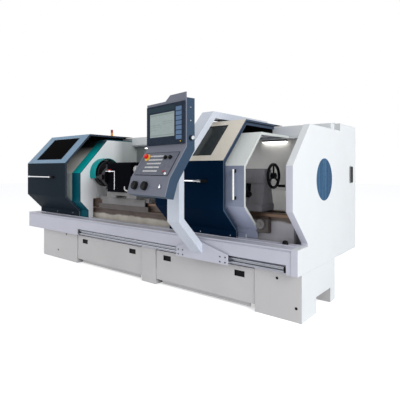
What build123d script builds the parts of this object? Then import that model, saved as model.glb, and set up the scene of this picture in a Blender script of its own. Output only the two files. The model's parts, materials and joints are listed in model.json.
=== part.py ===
from build123d import *
import os
from math import cos, radians, sin

os.makedirs("parts", exist_ok=True)

# A flat-bed turning lathe with sliding guards and a control desk that travels along the front.
# X runs along the spindle towards the tailstock, Y towards the back, Z up, in millimetres.
# The origin is on the floor, at the middle of the middle pedestal's foot.

# Clearances and sheet sizes
sheet = 3.0
plate = 6.0
overrun = 5.0
slide_gap = 0.3
running_gap = 0.05
half_share = 0.5
quarter_turn = 90.0
full_turn = 360.0
door_edge = 45.0

# Pedestals and front beam
pedestal_depth = 790.0
pedestal_height = 409.0
middle_pedestal_width = 226.0
left_pedestal_width = 884.0
right_pedestal_width = 453.0
left_bay = 1307.0
right_bay = 1284.0
arch_front = 313.0
arch_length = 354.0
arch_height = 145.0
beam_left_reach = 306.0
beam_front_reach = 75.0
beam_height = 221.0
sill_depth = 225.0
lip_height = 12.0
lip_reach = 6.0
lip_drop = 14.0
notch_height = 82.0
notch_depth = 40.0
notch_left_inset = 117.0
notch_right_inset = 109.0
sill_strip_height = 6.0
sill_strip_width = 14.0

front = -pedestal_depth / 2
floor_beam = pedestal_height
sill_z = floor_beam + beam_height
middle_left = -middle_pedestal_width / 2
middle_right = middle_pedestal_width / 2
left_pedestal_right = middle_left - left_bay
left_pedestal_left = left_pedestal_right - left_pedestal_width
right_pedestal_left = middle_right + right_bay
right_pedestal_right = right_pedestal_left + right_pedestal_width
beam_left = left_pedestal_left - beam_left_reach
beam_right = right_pedestal_right
beam_front = front - beam_front_reach
sill_rear = beam_front + sill_depth
notch_z = floor_beam + notch_height
notch_left = left_pedestal_right + notch_left_inset
notch_right = beam_right - notch_right_inset
notch_back = beam_front + notch_depth

# Console rail in the notch
rail_base_height = 56.0
rail_base_depth = 8.0
rail_rod_radius = 9.0
rail_rod_reach = 17.0
rail_rod_spread = 34.0
rail_low_gap = 12.0
stop_length = 26.0
rail_left = notch_left + stop_length
rail_right = notch_right - stop_length
rail_low = floor_beam + rail_low_gap
rail_middle_z = rail_low + rail_base_height / 2
rod_y = notch_back - rail_rod_reach

# Sliding guards: side view of each folded sheet, measured from the pedestal front and the sill
guard_slope_share = 1.06
knee_slope_share = 1.0
base_gap = 10.0
door_front_reach = 170.0
door_foot_inset = 45.0
door_knee = 288.0
door_brow = 749.0
door_roof = 1167.0
door_rear = 1018.0
inner_front_reach = 104.0
inner_foot_inset = 132.0
inner_knee = 327.0
inner_brow = 700.0
inner_drop = 140.0
inner_rear = 848.0
left_door_left_inset = 144.0
left_door_length = 1022.0
right_door_left = 289.0
right_door_length = 877.0
inner_door_out = 183.0
inner_door_length = 820.0
flange = 26.0
flange_deep = 56.0
flange_groove = 12.0
door_flange_rear = 835.0
inner_flange_rear = 805.0
handle_radius = 9.0
handle_reach = 46.0
left_handle_start = 70.0
left_handle_length = 640.0
right_handle_start = 62.0
right_handle_length = 590.0
post_length = 60.0
post_height = 22.0
pull_block = 34.0
handle_height = 555.0
pull_length = 279.0
pull_low = 390.0
pull_inset = 95.0
pull_reach = 44.0
window_side_margin = 185.0
window_edge_margin = 78.0
window_lap = 15.0
glass = 6.0
shoe_length = 90.0
shoe_height = 30.0
shoe_inset = 120.0
hanger_depth = 40.0
hanger_height = 11.0
door_rail_height = 12.0

# Fixed enclosure
housing_front_reach = 52.0
housing_foot_inset = 75.0
housing_knee = 225.0
housing_brow = 613.0
housing_drop = 87.0
housing_left_inset = 230.0
band_width = 186.0
band_out = 179.0
band_proud = 8.0
end_front_reach = 172.0
end_foot_inset = 124.0
end_knee = 323.0
end_brow = 698.0
end_drop = 103.0
end_width = 61.0
window_y = 518.0
window_z = 1201.0
window_radius = 199.0
grip_y = 1308.0
grip_z = 1236.0
grip_width = 110.0
grip_height = 190.0
grip_corner = 22.0
cabinet_front_inset = 949.0
cabinet_depth = 514.0
cabinet_left_inset = 210.0
cabinet_groove = 6.0
seam_count = 4
header_depth = 96.0
header_height = 131.0
header_lip = 18.0
inner_rail_depth = 33.0
inner_rail_height = 18.0
inner_hanger = 4.0
rear_wall_slope_top = 1050.0
rear_wall_foot = 700.0
rear_wall_foot_inset = 520.0
lamp_length = 300.0
lamp_height = 30.0
lamp_depth = 50.0
lens_height = 8.0
lamp_shares = (0.075, 0.73)
signal_x = -2083.0
signal_y_inset = 1110.0
signal_radius = 20.0
signal_pole = 92.0
signal_cap = 12.0
signal_lens = 53.0
signal_foot_radius = 27.0
signal_count = 2

# Bed, headstock and drive
spindle_inset = 308.0
spindle_z = 1232.0
bed_top = 887.0
way_height = 34.0
way_width = 84.0
way_gap = 122.0
way_overhang = 14.0
way_edge = 5.5
bed_left_inset = 230.0
bed_right_inset = 154.0
bed_wall = 46.0
bed_floor = 60.0
rib_thickness = 30.0
rib_count = 9
screw_cover_drop = 62.0
screw_cover_height = 34.0
screw_cover_reach = 26.0
screw_cover_slope_share = 0.33
bearing_block_length = 85.0
bearing_block_height = 150.0
bearing_block_reach = 24.0
bearing_cap_radius = 38.0
bearing_cap_length = 10.0
feed_bearing_share = 0.92
headstock_length = 640.0
headstock_half_width = 190.0
headstock_top = 160.0
headstock_edge = 24.0
headstock_wall_gap = 20.0
spindle_radius = 80.0
spindle_bore = 52.0
chuck_bore = 54.0
spindle_tail = 230.0
nose_radius = 112.0
nose_length = 34.0
bearing_outer = 118.0
bearing_width = 70.0
chuck_radius = 180.0
chuck_length = 104.0
chuck_edge = 8.0
jaw_width = 44.0
jaw_slot_depth = 26.0
jaw_length = 96.0
jaw_height = 34.0
jaw_step = 30.0
jaw_grip_radius = 66.0
jaw_base_height = 18.0
jaw_slot_start = 57.0
jaw_count = 3
guard_radius = 213.0
guard_sheet = 4.0
guard_length = 128.0
guard_start_angle = 8.0
guard_end_angle = 197.0
guard_pin_radius = 9.0
guard_pin_length = 26.0
guard_ear = 20.0
guard_ear_radius = 18.0
guard_ear_length = 24.0
guard_web_height = 16.0
guard_wall_gap = 1.0
pulley_width = 70.0
pulley_radius = 130.0
motor_pulley_radius = 78.0
motor_radius = 120.0
motor_length = 180.0
motor_drop = 215.0
motor_shaft_radius = 24.0
motor_shaft_inside = 60.0
motor_foot_height = 50.0
motor_gap = 14.0
belt_thickness = 6.0
belt_inset = 6.0

# Carriage and turret
saddle_gap = 36.0
saddle_length = 950.0
saddle_height = 52.0
saddle_front_reach = 20.0
saddle_rear_reach = 40.0
wing_width = 150.0
apron_depth = 16.0
apron_drop = 110.0
apron_inset = 60.0
wiper_thickness = 14.0
dovetail_height = 28.0
dovetail_narrow = 20.0
cross_left_inset = 300.0
cross_length = 560.0
cross_depth = 430.0
cross_height = 46.0
cross_front_reach = 120.0
dovetail_half_width = 110.0
turret_left_inset = 60.0
turret_length = 440.0
turret_depth = 250.0
turret_height = 365.0
turret_edge = 20.0
turret_front_reach = 40.0
disc_y_share = 0.35
disc_radius = 140.0
disc_length = 62.0
disc_sides = 8
disc_hub_radius = 52.0
disc_hub_length = 12.0
holder_length = 54.0
holder_width = 62.0
holder_height = 36.0
shank_size = 25.0
shank_length = 70.0
motor_cap_radius = 42.0
motor_cap_length = 46.0
motor_cap_ring = 9.0
pipe_radius = 6.0
pipe_start_share = 0.42
pipe_height_share = 0.7
pipe_low_share = 0.1
pipe_run = 170.0
pipe_stand = 34.0
valve_radius = 13.0
valve_length = 46.0
valve_inset = 60.0
valve_pin_radius = 4.0
valve_pin_depth = 8.0
valve_lever_length = 44.0
valve_lever_width = 14.0
valve_lever_height = 8.0

# Tailstock
tail_left = 1035.0
tail_length = 330.0
tail_base_height = 70.0
tail_half_width = 128.0
tail_barrel_radius = 82.0
tail_neck_half = 62.0
tail_waist_half = 108.0
tail_pad_reach = 6.0
quill_radius = 45.0
quill_out = 110.0
quill_inside = 260.0
centre_length = 80.0
centre_radius = 28.0
screw_radius = 12.0
screw_inside = 200.0
screw_boss_radius = 34.0
screw_boss_length = 40.0
wheel_radius = 125.0
wheel_rim = 13.0
wheel_hub_radius = 30.0
wheel_hub_length = 40.0
wheel_spokes = 3
rim_edge_share = 0.55
spoke_radius = 9.0
crank_length = 90.0
crank_radius = 13.0
crank_pin_radius = 7.0
crank_angle = -60.0
clamp_radius = 11.0
clamp_length = 190.0
clamp_boss = 26.0
clamp_boss_length = 30.0
clamp_x_share = 0.35
clamp_z_share = 0.5
clamp_pin_radius = 12.0
clamp_pin_depth = 20.0
clamp_angle = 115.0
tail_waist_start_share = 0.35
tail_edge = 10.0

# Travelling control desk
arm_left = 713.0
arm_width = 150.0
arm_thickness = 70.0
arm_front_reach = 435.0
arm_clear = 93.0
arm_brow = 1329.0
arm_bend = 809.0
arm_rear_inset = 1218.0
arm_foot_length = 60.0
carrier_left_reach = 194.0
carrier_right_reach = 301.0
carrier_thickness = 10.0
carrier_low = 402.0
carrier_height = 96.0
carrier_peak = 176.0
slider_length = 96.0
slider_height = 52.0
slider_inset = 26.0
top_rail_height = 16.0
top_rail_width = 34.0
console_turn = -10.0
pivot_reach = 40.0
pivot_radius = 24.0
pivot_height = 90.0
pivot_z = 1250.0
pivot_pin_radius = 16.0
lug_half_width = 40.0
lug_thickness = 14.0
lug_depth = 190.0
console_stand = 15.0
panel_thickness = 8.0
console_width = 580.0
console_shift = 66.0
console_depth = 85.0
console_top = 1895.0
console_crease = 1488.0
console_lower = 1226.0
console_bottom = 1080.0
key_forward = 174.0
low_forward = 45.0
ear_height = 46.0
ear_width = 290.0
ear_slope = 70.0
bezel_depth = 10.0
bezel_margin = 8.0
bezel_low_margin = 26.0
bezel_top_margin = 26.0
screen_side_shares = (0.09, 0.75)
screen_height_shares = (0.2, 0.8)
screen_inset = 3.0
keypad_depth = 4.0
keypad_side_share = 0.07
keypad_low_share = 0.08
keypad_high_share = 0.82
key_rows = 5
key_columns = 8
key_width = 21.0
key_height = 15.0
key_gap = 6.0
key_depth = 3.0
stop_radius = 22.0
stop_collar = 34.0
stop_collar_height = 4.0
stop_height = 26.0
stop_travel = 8.0
knob_radius = 17.0
knob_height = 20.0
dial_radius = 38.0
dial_height = 30.0
dial_seat_radius = 44.0
dial_seat_height = 4.0
lock_radius = 12.0
lock_height = 10.0
key_tab = 24.0
stem_radius = 6.0
stem_depth = 14.0
socket_depth = 40.0
head_edge_share = 0.17
keypad_u_shares = (0.2, 0.62)
stop_place = (0.18, 0.66)
feed_knob_place = (0.67, 0.64)
speed_knob_place = (0.79, 0.64)
x_dial_place = (0.2, 0.5)
z_dial_place = (0.47, 0.5)
lock_place = (0.85, 0.5)
knob_pointer = 5.0

# Chip wagons
wagon_gap = 6.0
wagon_panel_thickness = 18.0
wagon_panel_inset = 10.0
wagon_panel_low = 62.0
wagon_panel_high = 386.0
wagon_depth = 560.0
wagon_low = 52.0
wagon_high = 250.0
wagon_side_inset = 70.0
wagon_wall = 4.0
side_pad_low = 120.0
side_pad_height = 60.0
skirt_inset = 17.0
skirt_low = 14.0
wagon_grip_width = 112.0
wagon_grip_height = 56.0
wagon_grip_low = 226.0
wagon_grip_shares = (0.13, 0.87)
wheel_size = 38.0
wheel_thickness = 24.0
axle_radius = 9.0
axle_inset = 110.0
caster_side_gap = 12.0
wagon_grip_depth = 12.0
hanger_low = 20.0
hanger_half = 18.0
hanger_thickness = 20.0

door_base = sill_z + base_gap
door_top = sill_z + door_roof
housing_roof = door_roof - housing_drop
inner_roof = door_roof - inner_drop
end_roof = door_roof - end_drop
arm_top = door_top + arm_clear
cabinet_top = door_top - sheet - hanger_height - slide_gap - door_rail_height
door_front = front - door_front_reach
left_door_left = beam_left + left_door_left_inset
left_door_right = left_door_left + left_door_length
right_door_right = right_door_left + right_door_length
inner_door_right = right_door_right + inner_door_out
inner_door_left = inner_door_right - inner_door_length
cabinet_front = front + cabinet_front_inset
cabinet_rear = cabinet_front + cabinet_depth
cabinet_left = beam_left + cabinet_left_inset
spindle_y = front + spindle_inset
housing_left = beam_left + housing_left_inset
spindle_wall_x = left_door_right + band_out
band_left = spindle_wall_x - band_width
header_front = cabinet_front - header_depth
header_low = cabinet_top - header_height
end_left = beam_right - end_width
bed_left = beam_left + bed_left_inset
bed_right = beam_right - bed_right_inset
bed_half = way_gap / 2 + way_width
bed_front = spindle_y - bed_half
bed_rear = spindle_y + bed_half
bed_low = floor_beam
casting_top = bed_top - way_height
headstock_right = spindle_wall_x - plate - headstock_wall_gap
headstock_left = headstock_right - headstock_length
spindle_left = headstock_left - spindle_tail
nose_left = spindle_wall_x + guard_wall_gap
chuck_left = nose_left + nose_length
chuck_right = chuck_left + chuck_length
saddle_left = chuck_right + saddle_gap

guard_pin_y = spindle_y + guard_radius + guard_ear
guard_pin_z = spindle_z + guard_radius * sin(radians(guard_start_angle))


def block(low, high, mode=Mode.ADD):
    """A box between two corners."""
    size = [b - a for a, b in zip(low, high)]
    middle = tuple((a + b) / 2 for a, b in zip(low, high))
    with Locations(middle):
        Box(*size, mode=mode)


def rod(start, along, radius, length, mode=Mode.ADD):
    """A round bar from a start point along a direction."""
    with BuildSketch(Plane(origin=start, z_dir=along)) as disc:
        Circle(radius)
    extrude(disc.sketch, amount=length, dir=along, mode=mode)


def side_face(x, points):
    """A closed side-view outline at a place along the machine."""
    with BuildSketch(Plane.YZ.offset(x)) as face:
        with BuildLine():
            Polyline(*points, close=True)
        make_face()
    return face.sketch


def folded(x, points, thickness):
    """The section of a folded sheet whose outside follows the points, with square ends."""
    with BuildSketch(Plane.YZ.offset(x)) as face:
        with BuildLine():
            Polyline(*points)
            offset(amount=thickness, side=Side.RIGHT, kind=Kind.INTERSECTION)
        make_face()
    return face.sketch


def guard_line(reach, foot_inset, knee, brow, roof, rear_inset, base):
    """Side view of a guard from its foot, over knee and brow, to the back of its roof."""
    face_y = front - reach
    foot_y = front + foot_inset
    skirt = sill_z + knee - (foot_y - face_y) * knee_slope_share
    roof_y = face_y + (roof - brow) / guard_slope_share
    return [
        (foot_y, base),
        (foot_y, skirt),
        (face_y, sill_z + knee),
        (face_y, sill_z + brow),
        (roof_y, sill_z + roof),
        (front + rear_inset, sill_z + roof),
    ]


def save(part, name):
    """Label a finished piece and write it out."""
    part.label = name
    export_step(part, f"parts/{name}.step")


# Pedestals: welded boxes, open at the top, the outer two with an arch at the foot
pedestal_spans = (
    (left_pedestal_left, left_pedestal_right, True),
    (middle_left, middle_right, False),
    (right_pedestal_left, right_pedestal_right, True),
)
with BuildPart() as pedestals:
    for left, right, arched in pedestal_spans:
        block((left, front, 0), (right, front + pedestal_depth, pedestal_height))
        hollow_low = (left + plate, front + plate, arch_height + plate if arched else plate)
        hollow_high = (right - plate, front + pedestal_depth - plate, pedestal_height + overrun)
        block(hollow_low, hollow_high, Mode.SUBTRACT)
        if arched:
            arch_low = (left - overrun, front + arch_front, -overrun)
            arch_high = (right + overrun, front + arch_front + arch_length, arch_height)
            block(arch_low, arch_high, Mode.SUBTRACT)
save(pedestals.part, "pedestals")

# Front beam: a folded channel with a sill on top and a long notch for the rail
lip_front = beam_front - lip_reach
door_foot = front + door_foot_inset
inner_strip = front + inner_foot_inset - sill_strip_width
strip_top = sill_z + sill_strip_height
beam_head = [
    (sill_rear, sill_z),
    (lip_front, sill_z),
    (lip_front, sill_z - lip_height),
    (beam_front + plate, sill_z - lip_height),
    (beam_front + plate, sill_z - lip_height - lip_drop),
    (beam_front, sill_z - lip_height - lip_drop),
]
full_section = beam_head + [(beam_front, floor_beam), (sill_rear, floor_beam)]
notch_section = beam_head + [
    (beam_front, notch_z),
    (notch_back, notch_z),
    (notch_back, floor_beam),
    (sill_rear, floor_beam),
]
spans = (
    (beam_left, notch_left, full_section),
    (notch_left, notch_right, notch_section),
    (notch_right, end_left, full_section),
)
with BuildPart() as front_beam:
    for left, right, section in spans:
        extrude(side_face(left, section), amount=right - left)
    hollow = [
        (sill_rear + overrun, sill_z - plate),
        (notch_back + plate, sill_z - plate),
        (notch_back + plate, floor_beam + plate),
        (sill_rear + overrun, floor_beam + plate),
    ]
    hollow_length = end_left - beam_left - 2 * plate
    extrude(side_face(beam_left + plate, hollow), amount=hollow_length, mode=Mode.SUBTRACT)
    for strip_left, strip_front in ((left_door_left, door_foot + sheet), (inner_door_left, inner_strip)):
        strip_low = (strip_left, strip_front, sill_z)
        block(strip_low, (end_left, strip_front + sill_strip_width, strip_top))
save(front_beam.part, "front_beam")

# Rail: a steel strip with two round rods, and a buffer at each end
with BuildPart() as console_rail:
    strip_front = notch_back - rail_base_depth
    block((rail_left, strip_front, rail_low), (rail_right, notch_back, rail_low + rail_base_height))
    for side in (-1, 1):
        rod_z = rail_middle_z + side * rail_rod_spread / 2
        web_low = (rail_left, rod_y, rod_z - rail_rod_radius / 2)
        block(web_low, (rail_right, strip_front, rod_z + rail_rod_radius / 2))
        rod((rail_left, rod_y, rod_z), (1, 0, 0), rail_rod_radius, rail_right - rail_left)
    for start in (notch_left, rail_right):
        low = (start, rod_y - rail_rod_radius, rail_low)
        block(low, (start + stop_length, notch_back, rail_low + rail_base_height))
save(console_rail.part, "console_rail")

# Bed casting: two walls on a floor with cross ribs, and hardened ways on top
with BuildPart() as bed:
    wall_front = bed_front + way_overhang
    wall_rear = bed_rear - way_overhang
    section = [
        (wall_front, bed_low),
        (wall_front, casting_top),
        (wall_front + bed_wall, casting_top),
        (wall_front + bed_wall, bed_low + bed_floor),
        (wall_rear - bed_wall, bed_low + bed_floor),
        (wall_rear - bed_wall, casting_top),
        (wall_rear, casting_top),
        (wall_rear, bed_low),
    ]
    extrude(side_face(bed_left, section), amount=bed_right - bed_left)
    pitch = (bed_right - bed_left) / (rib_count + 1)
    for index in range(1, rib_count + 1):
        x = bed_left + index * pitch
        low = (x - rib_thickness / 2, wall_front + bed_wall / 2, bed_low + bed_floor / 2)
        block(low, (x + rib_thickness / 2, wall_rear - bed_wall / 2, casting_top - bed_floor))
    cover_top = casting_top - screw_cover_drop
    block_left = bed_left + (bed_right - bed_left) * feed_bearing_share
    cover_points = [
        (wall_front, cover_top),
        (wall_front - screw_cover_reach, cover_top - screw_cover_height * screw_cover_slope_share),
        (wall_front - screw_cover_reach, cover_top - screw_cover_height),
        (wall_front, cover_top - screw_cover_height),
    ]
    extrude(side_face(spindle_wall_x, cover_points), amount=block_left - spindle_wall_x)
    block_low = cover_top - screw_cover_height / 2 - bearing_block_height / 2
    low = (block_left, wall_front - bearing_block_reach, block_low)
    block(low, (block_left + bearing_block_length, wall_front, block_low + bearing_block_height))
    cap_at = (
        block_left + bearing_block_length / 2,
        wall_front - bearing_block_reach,
        block_low + bearing_block_height / 2,
    )
    rod(cap_at, (0, -1, 0), bearing_cap_radius, bearing_cap_length)
save(bed.part, "bed")

with BuildPart() as bed_ways:
    for inner, outer in ((way_gap / 2, bed_half), (-bed_half, -way_gap / 2)):
        low = (bed_left, spindle_y + inner, casting_top)
        block(low, (bed_right, spindle_y + outer, bed_top))
    top_edges = bed_ways.part.edges().filter_by(Axis.X).group_by(Axis.Z)[-1]
    chamfer(top_edges, way_edge)
save(bed_ways.part, "bed_ways")

# Rear wall of the working space, folded to a slope behind the bed
with BuildPart() as rear_wall:
    wall_line = [
        (cabinet_front, header_low),
        (cabinet_front, rear_wall_slope_top),
        (front + rear_wall_foot_inset, rear_wall_foot),
    ]
    wall_length = end_left - spindle_wall_x
    extrude(folded(spindle_wall_x, wall_line, sheet), amount=wall_length)
save(rear_wall.part, "rear_wall")

# Rear cabinet: a sheet box with panel seams, the lamp header, the guide rails and a recessed grip
door_rail_y = cabinet_front + hanger_depth / 2
top_rail_y = front + arm_rear_inset - arm_foot_length / 2
inner_rail_low = sill_z + inner_roof - sheet - inner_hanger - inner_rail_height
with BuildPart() as rear_cabinet:
    block((cabinet_left, cabinet_front, pedestal_height), (beam_right, cabinet_rear, cabinet_top))
    hollow_low = (cabinet_left + plate, cabinet_front + plate, pedestal_height - overrun)
    block(hollow_low, (beam_right - plate, cabinet_rear - plate, cabinet_top - plate), Mode.SUBTRACT)
    seam_pitch = (beam_right - cabinet_left) / seam_count
    for index in range(1, seam_count):
        x = cabinet_left + index * seam_pitch
        low = (x - cabinet_groove / 2, cabinet_rear - plate / 2, pedestal_height - overrun)
        high = (x + cabinet_groove / 2, cabinet_rear + overrun, cabinet_top - door_edge)
        block(low, high, Mode.SUBTRACT)
    for left in (left_pedestal_left, middle_left, right_pedestal_left):
        low = (left, front + pedestal_depth - plate, pedestal_height)
        block(low, (left + middle_pedestal_width, cabinet_front, pedestal_height + bed_floor))
    header_points = [
        (cabinet_front, cabinet_top),
        (header_front, cabinet_top),
        (header_front, header_low + header_lip),
        (header_front + header_lip, header_low),
        (cabinet_front, header_low),
    ]
    extrude(side_face(spindle_wall_x, header_points), amount=end_left - spindle_wall_x)
    low = (cabinet_left, door_rail_y, cabinet_top)
    block(low, (end_left, door_rail_y + hanger_depth / 2, cabinet_top + door_rail_height))
    low = (cabinet_left, top_rail_y - top_rail_width / 2, cabinet_top)
    block(low, (end_left, top_rail_y + top_rail_width / 2, cabinet_top + top_rail_height))
    low = (inner_door_left, header_front - inner_rail_depth, inner_rail_low)
    block(low, (end_left, header_front + 2 * header_lip, inner_rail_low + inner_rail_height))
    grip_plane = Plane(origin=(beam_right, front + grip_y, grip_z), x_dir=(0, 1, 0), z_dir=(1, 0, 0))
    with BuildSketch(grip_plane):
        RectangleRounded(grip_width, grip_height, grip_corner)
    extrude(amount=plate)
    with BuildSketch(grip_plane.offset(plate)):
        RectangleRounded(grip_width - 2 * plate, grip_height - 2 * plate, grip_corner - plate)
    extrude(amount=-sheet, mode=Mode.SUBTRACT)
save(rear_cabinet.part, "rear_cabinet")

# Headstock housing, its coloured band and the wall round the spindle
housing_line = guard_line(
    housing_front_reach, housing_foot_inset, housing_knee, housing_brow, housing_roof,
    cabinet_front_inset, sill_z,
)
with BuildPart() as headstock_housing:
    extrude(folded(housing_left, housing_line, sheet), amount=band_left - housing_left)
    end_points = housing_line + [
        (cabinet_front, bed_top + sheet),
        (sill_rear, bed_top + sheet),
        (sill_rear, sill_z),
    ]
    extrude(side_face(housing_left, end_points), amount=sheet)
save(headstock_housing.part, "headstock_housing")

band_line = guard_line(
    housing_front_reach + band_proud, housing_foot_inset - band_proud, housing_knee, housing_brow,
    housing_roof + band_proud, cabinet_front_inset, sill_z,
)
with BuildPart() as headstock_band:
    extrude(folded(band_left, band_line, sheet + band_proud), amount=band_width)
    fillet(headstock_band.part.edges().filter_by(Axis.X).sort_by(Axis.Y)[0:1], sheet)
save(headstock_band.part, "headstock_band")

with BuildPart() as spindle_wall:
    wall_points = housing_line + [
        (cabinet_front, bed_top + sheet),
        (sill_rear, bed_top + sheet),
        (sill_rear, sill_z),
    ]
    extrude(side_face(spindle_wall_x - plate, wall_points), amount=plate)
    band_room = folded(band_left, band_line, sheet + band_proud + slide_gap)
    extrude(band_room, amount=band_width, mode=Mode.SUBTRACT)
    nose_at = (spindle_wall_x - plate, spindle_y, spindle_z)
    rod(nose_at, (1, 0, 0), nose_radius + plate, plate, Mode.SUBTRACT)
    rod((spindle_wall_x, guard_pin_y, guard_pin_z), (1, 0, 0), guard_pin_radius, guard_pin_length)
save(spindle_wall.part, "spindle_wall")

# Right end cover: a plate with a deep front flange, a round window and a recessed grip
end_line = guard_line(
    end_front_reach, end_foot_inset, end_knee, end_brow, end_roof, cabinet_front_inset, sill_z,
)
with BuildPart() as end_cover:
    cover_points = end_line + [
        (cabinet_front, pedestal_height),
        (beam_front - lip_reach, pedestal_height),
        (beam_front - lip_reach, sill_z),
    ]
    extrude(side_face(end_left, cover_points), amount=end_width)
    pocket = [
        (cabinet_front + overrun, sill_z + plate),
        (end_line[0][0] + plate, sill_z + plate),
        (end_line[1][0] + plate, end_line[1][1] + plate),
        (end_line[2][0] + plate, end_line[2][1] + plate),
        (end_line[3][0] + plate, end_line[3][1] - plate),
        (end_line[4][0] + plate, end_line[4][1] - plate),
        (cabinet_front + overrun, end_line[5][1] - plate),
    ]
    extrude(side_face(end_left - overrun, pocket), amount=end_width - plate + overrun, mode=Mode.SUBTRACT)
    rod(
        (end_left, front + window_y, window_z), (1, 0, 0), window_radius, end_width + overrun, Mode.SUBTRACT
    )
save(end_cover.part, "end_cover")

with BuildPart() as end_window:
    pane_at = (beam_right - plate, front + window_y, window_z)
    rod(pane_at, (1, 0, 0), window_radius - slide_gap, plate - sheet / 2)
save(end_window.part, "end_window")

# Working lamps under the header, each with its lens
lamp_rear = cabinet_front - sheet
with BuildPart() as lamps:
    for share in lamp_shares:
        x = spindle_wall_x + (end_left - spindle_wall_x) * share
        low = (x, lamp_rear - lamp_depth, header_low - lamp_height)
        block(low, (x + lamp_length, lamp_rear, header_low))
        low = (x + plate, lamp_rear - lamp_depth + plate, header_low - lamp_height - lens_height)
        block(low, (x + lamp_length - plate, lamp_rear - plate, header_low - lamp_height))
save(lamps.part, "lamps")

# Signal light on the cabinet: a pole with two stacked lenses
signal_at = (signal_x, front + signal_y_inset, cabinet_top)
with BuildPart() as signal_light:
    rod(signal_at, (0, 0, 1), signal_foot_radius, signal_cap)
    rod(signal_at, (0, 0, 1), signal_radius / 2, signal_pole)
    for index in range(signal_count):
        lens_low = cabinet_top + signal_pole + index * signal_lens
        rod((signal_x, front + signal_y_inset, lens_low), (0, 0, 1), signal_radius, signal_lens - sheet)
        lens_top = (signal_x, front + signal_y_inset, lens_low + signal_lens - sheet)
        rod(lens_top, (0, 0, 1), signal_radius - sheet, sheet)
save(signal_light.part, "signal_light")

# Headstock casting on the ways, bored for the spindle, with a bearing at each end
with BuildPart() as headstock_casting:
    low = (headstock_left, spindle_y - headstock_half_width, bed_top)
    block(low, (headstock_right, spindle_y + headstock_half_width, spindle_z + headstock_top))
    chamfer(headstock_casting.part.edges().filter_by(Axis.X).group_by(Axis.Z)[-1], headstock_edge)
    bore_start = (headstock_left, spindle_y, spindle_z)
    rod(bore_start, (1, 0, 0), bearing_outer + running_gap, headstock_length, Mode.SUBTRACT)
save(headstock_casting.part, "headstock_casting")

with BuildPart() as spindle_bearings:
    for start in (headstock_left, headstock_right - bearing_width):
        rod((start, spindle_y, spindle_z), (1, 0, 0), bearing_outer, bearing_width)
        hole = spindle_radius + running_gap
        rod((start, spindle_y, spindle_z), (1, 0, 0), hole, bearing_width, Mode.SUBTRACT)
save(spindle_bearings.part, "spindle_bearings")

# Spindle: a hollow shaft with a drive pulley at the tail and a nose flange for the chuck
with BuildPart() as spindle:
    tail_at = (spindle_left, spindle_y, spindle_z)
    rod(tail_at, (1, 0, 0), spindle_radius, chuck_left - spindle_left)
    rod(tail_at, (1, 0, 0), pulley_radius, pulley_width)
    rod((nose_left, spindle_y, spindle_z), (1, 0, 0), nose_radius, nose_length)
    rod(tail_at, (1, 0, 0), spindle_bore, chuck_left - spindle_left, Mode.SUBTRACT)
save(spindle.part, "spindle")

# Drive motor beside the pulley, its shaft with the small pulley, and the belt round both
motor_z = spindle_z - motor_drop
motor_right = spindle_left - motor_gap
motor_left = motor_right - motor_length
with BuildPart() as drive_motor:
    rod((motor_left, spindle_y, motor_z), (1, 0, 0), motor_radius, motor_length)
    low = (motor_left, spindle_y - motor_radius, bed_top)
    block(low, (motor_right, spindle_y + motor_radius, bed_top + motor_foot_height))
    shaft_at = (motor_right, spindle_y, motor_z)
    hole = motor_shaft_radius + running_gap
    rod(shaft_at, (-1, 0, 0), hole, motor_shaft_inside + sheet, Mode.SUBTRACT)
save(drive_motor.part, "drive_motor")

with BuildPart() as motor_pulley:
    shaft_left = (motor_right - motor_shaft_inside, spindle_y, motor_z)
    shaft_length = motor_shaft_inside + motor_gap + pulley_width
    rod(shaft_left, (1, 0, 0), motor_shaft_radius, shaft_length)
    rod((spindle_left, spindle_y, motor_z), (1, 0, 0), motor_pulley_radius, pulley_width)
save(motor_pulley.part, "motor_pulley")


def belt_face(x, grow):
    """The outline of a belt round both pulleys, grown by a distance."""
    with BuildSketch(Plane.YZ.offset(x)) as face:
        with Locations((spindle_y, spindle_z)):
            Circle(pulley_radius + grow)
        with Locations((spindle_y, motor_z)):
            Circle(motor_pulley_radius + grow)
        make_hull()
    return face.sketch


with BuildPart() as drive_belt:
    belt_left = spindle_left + belt_inset
    belt_width = pulley_width - 2 * belt_inset
    extrude(belt_face(belt_left, slide_gap + belt_thickness), amount=belt_width)
    extrude(belt_face(belt_left, slide_gap), amount=belt_width, mode=Mode.SUBTRACT)
save(drive_belt.part, "drive_belt")


def radial_face(x, angle, inner, outer, width):
    """A rectangle that stands on a radius of the spindle, at a place along the machine."""
    radius_dir = (0, cos(radians(angle)), sin(radians(angle)))
    base = Plane(origin=(x, spindle_y, spindle_z), x_dir=radius_dir, z_dir=(1, 0, 0))
    with BuildSketch(base) as face:
        with Locations(((inner + outer) / 2, 0)):
            Rectangle(outer - inner, width)
    return face.sketch


# Three-jaw chuck: a bored body with radial slots and three stepped jaws
jaw_angles = [quarter_turn + index * full_turn / jaw_count for index in range(jaw_count)]
jaw_outer = jaw_grip_radius + jaw_length
slot_x = chuck_right - jaw_slot_depth
with BuildPart() as chuck_body:
    rod((chuck_left, spindle_y, spindle_z), (1, 0, 0), chuck_radius, chuck_length)
    rim_edges = chuck_body.part.edges().filter_by(GeomType.CIRCLE)
    chamfer(rim_edges, chuck_edge)
    rod((chuck_left, spindle_y, spindle_z), (1, 0, 0), chuck_bore, chuck_length, Mode.SUBTRACT)
    for angle in jaw_angles:
        slot = radial_face(slot_x, angle, jaw_slot_start, chuck_radius + overrun, jaw_width)
        extrude(slot, amount=jaw_slot_depth + overrun, mode=Mode.SUBTRACT)
save(chuck_body.part, "chuck_body")

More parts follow.
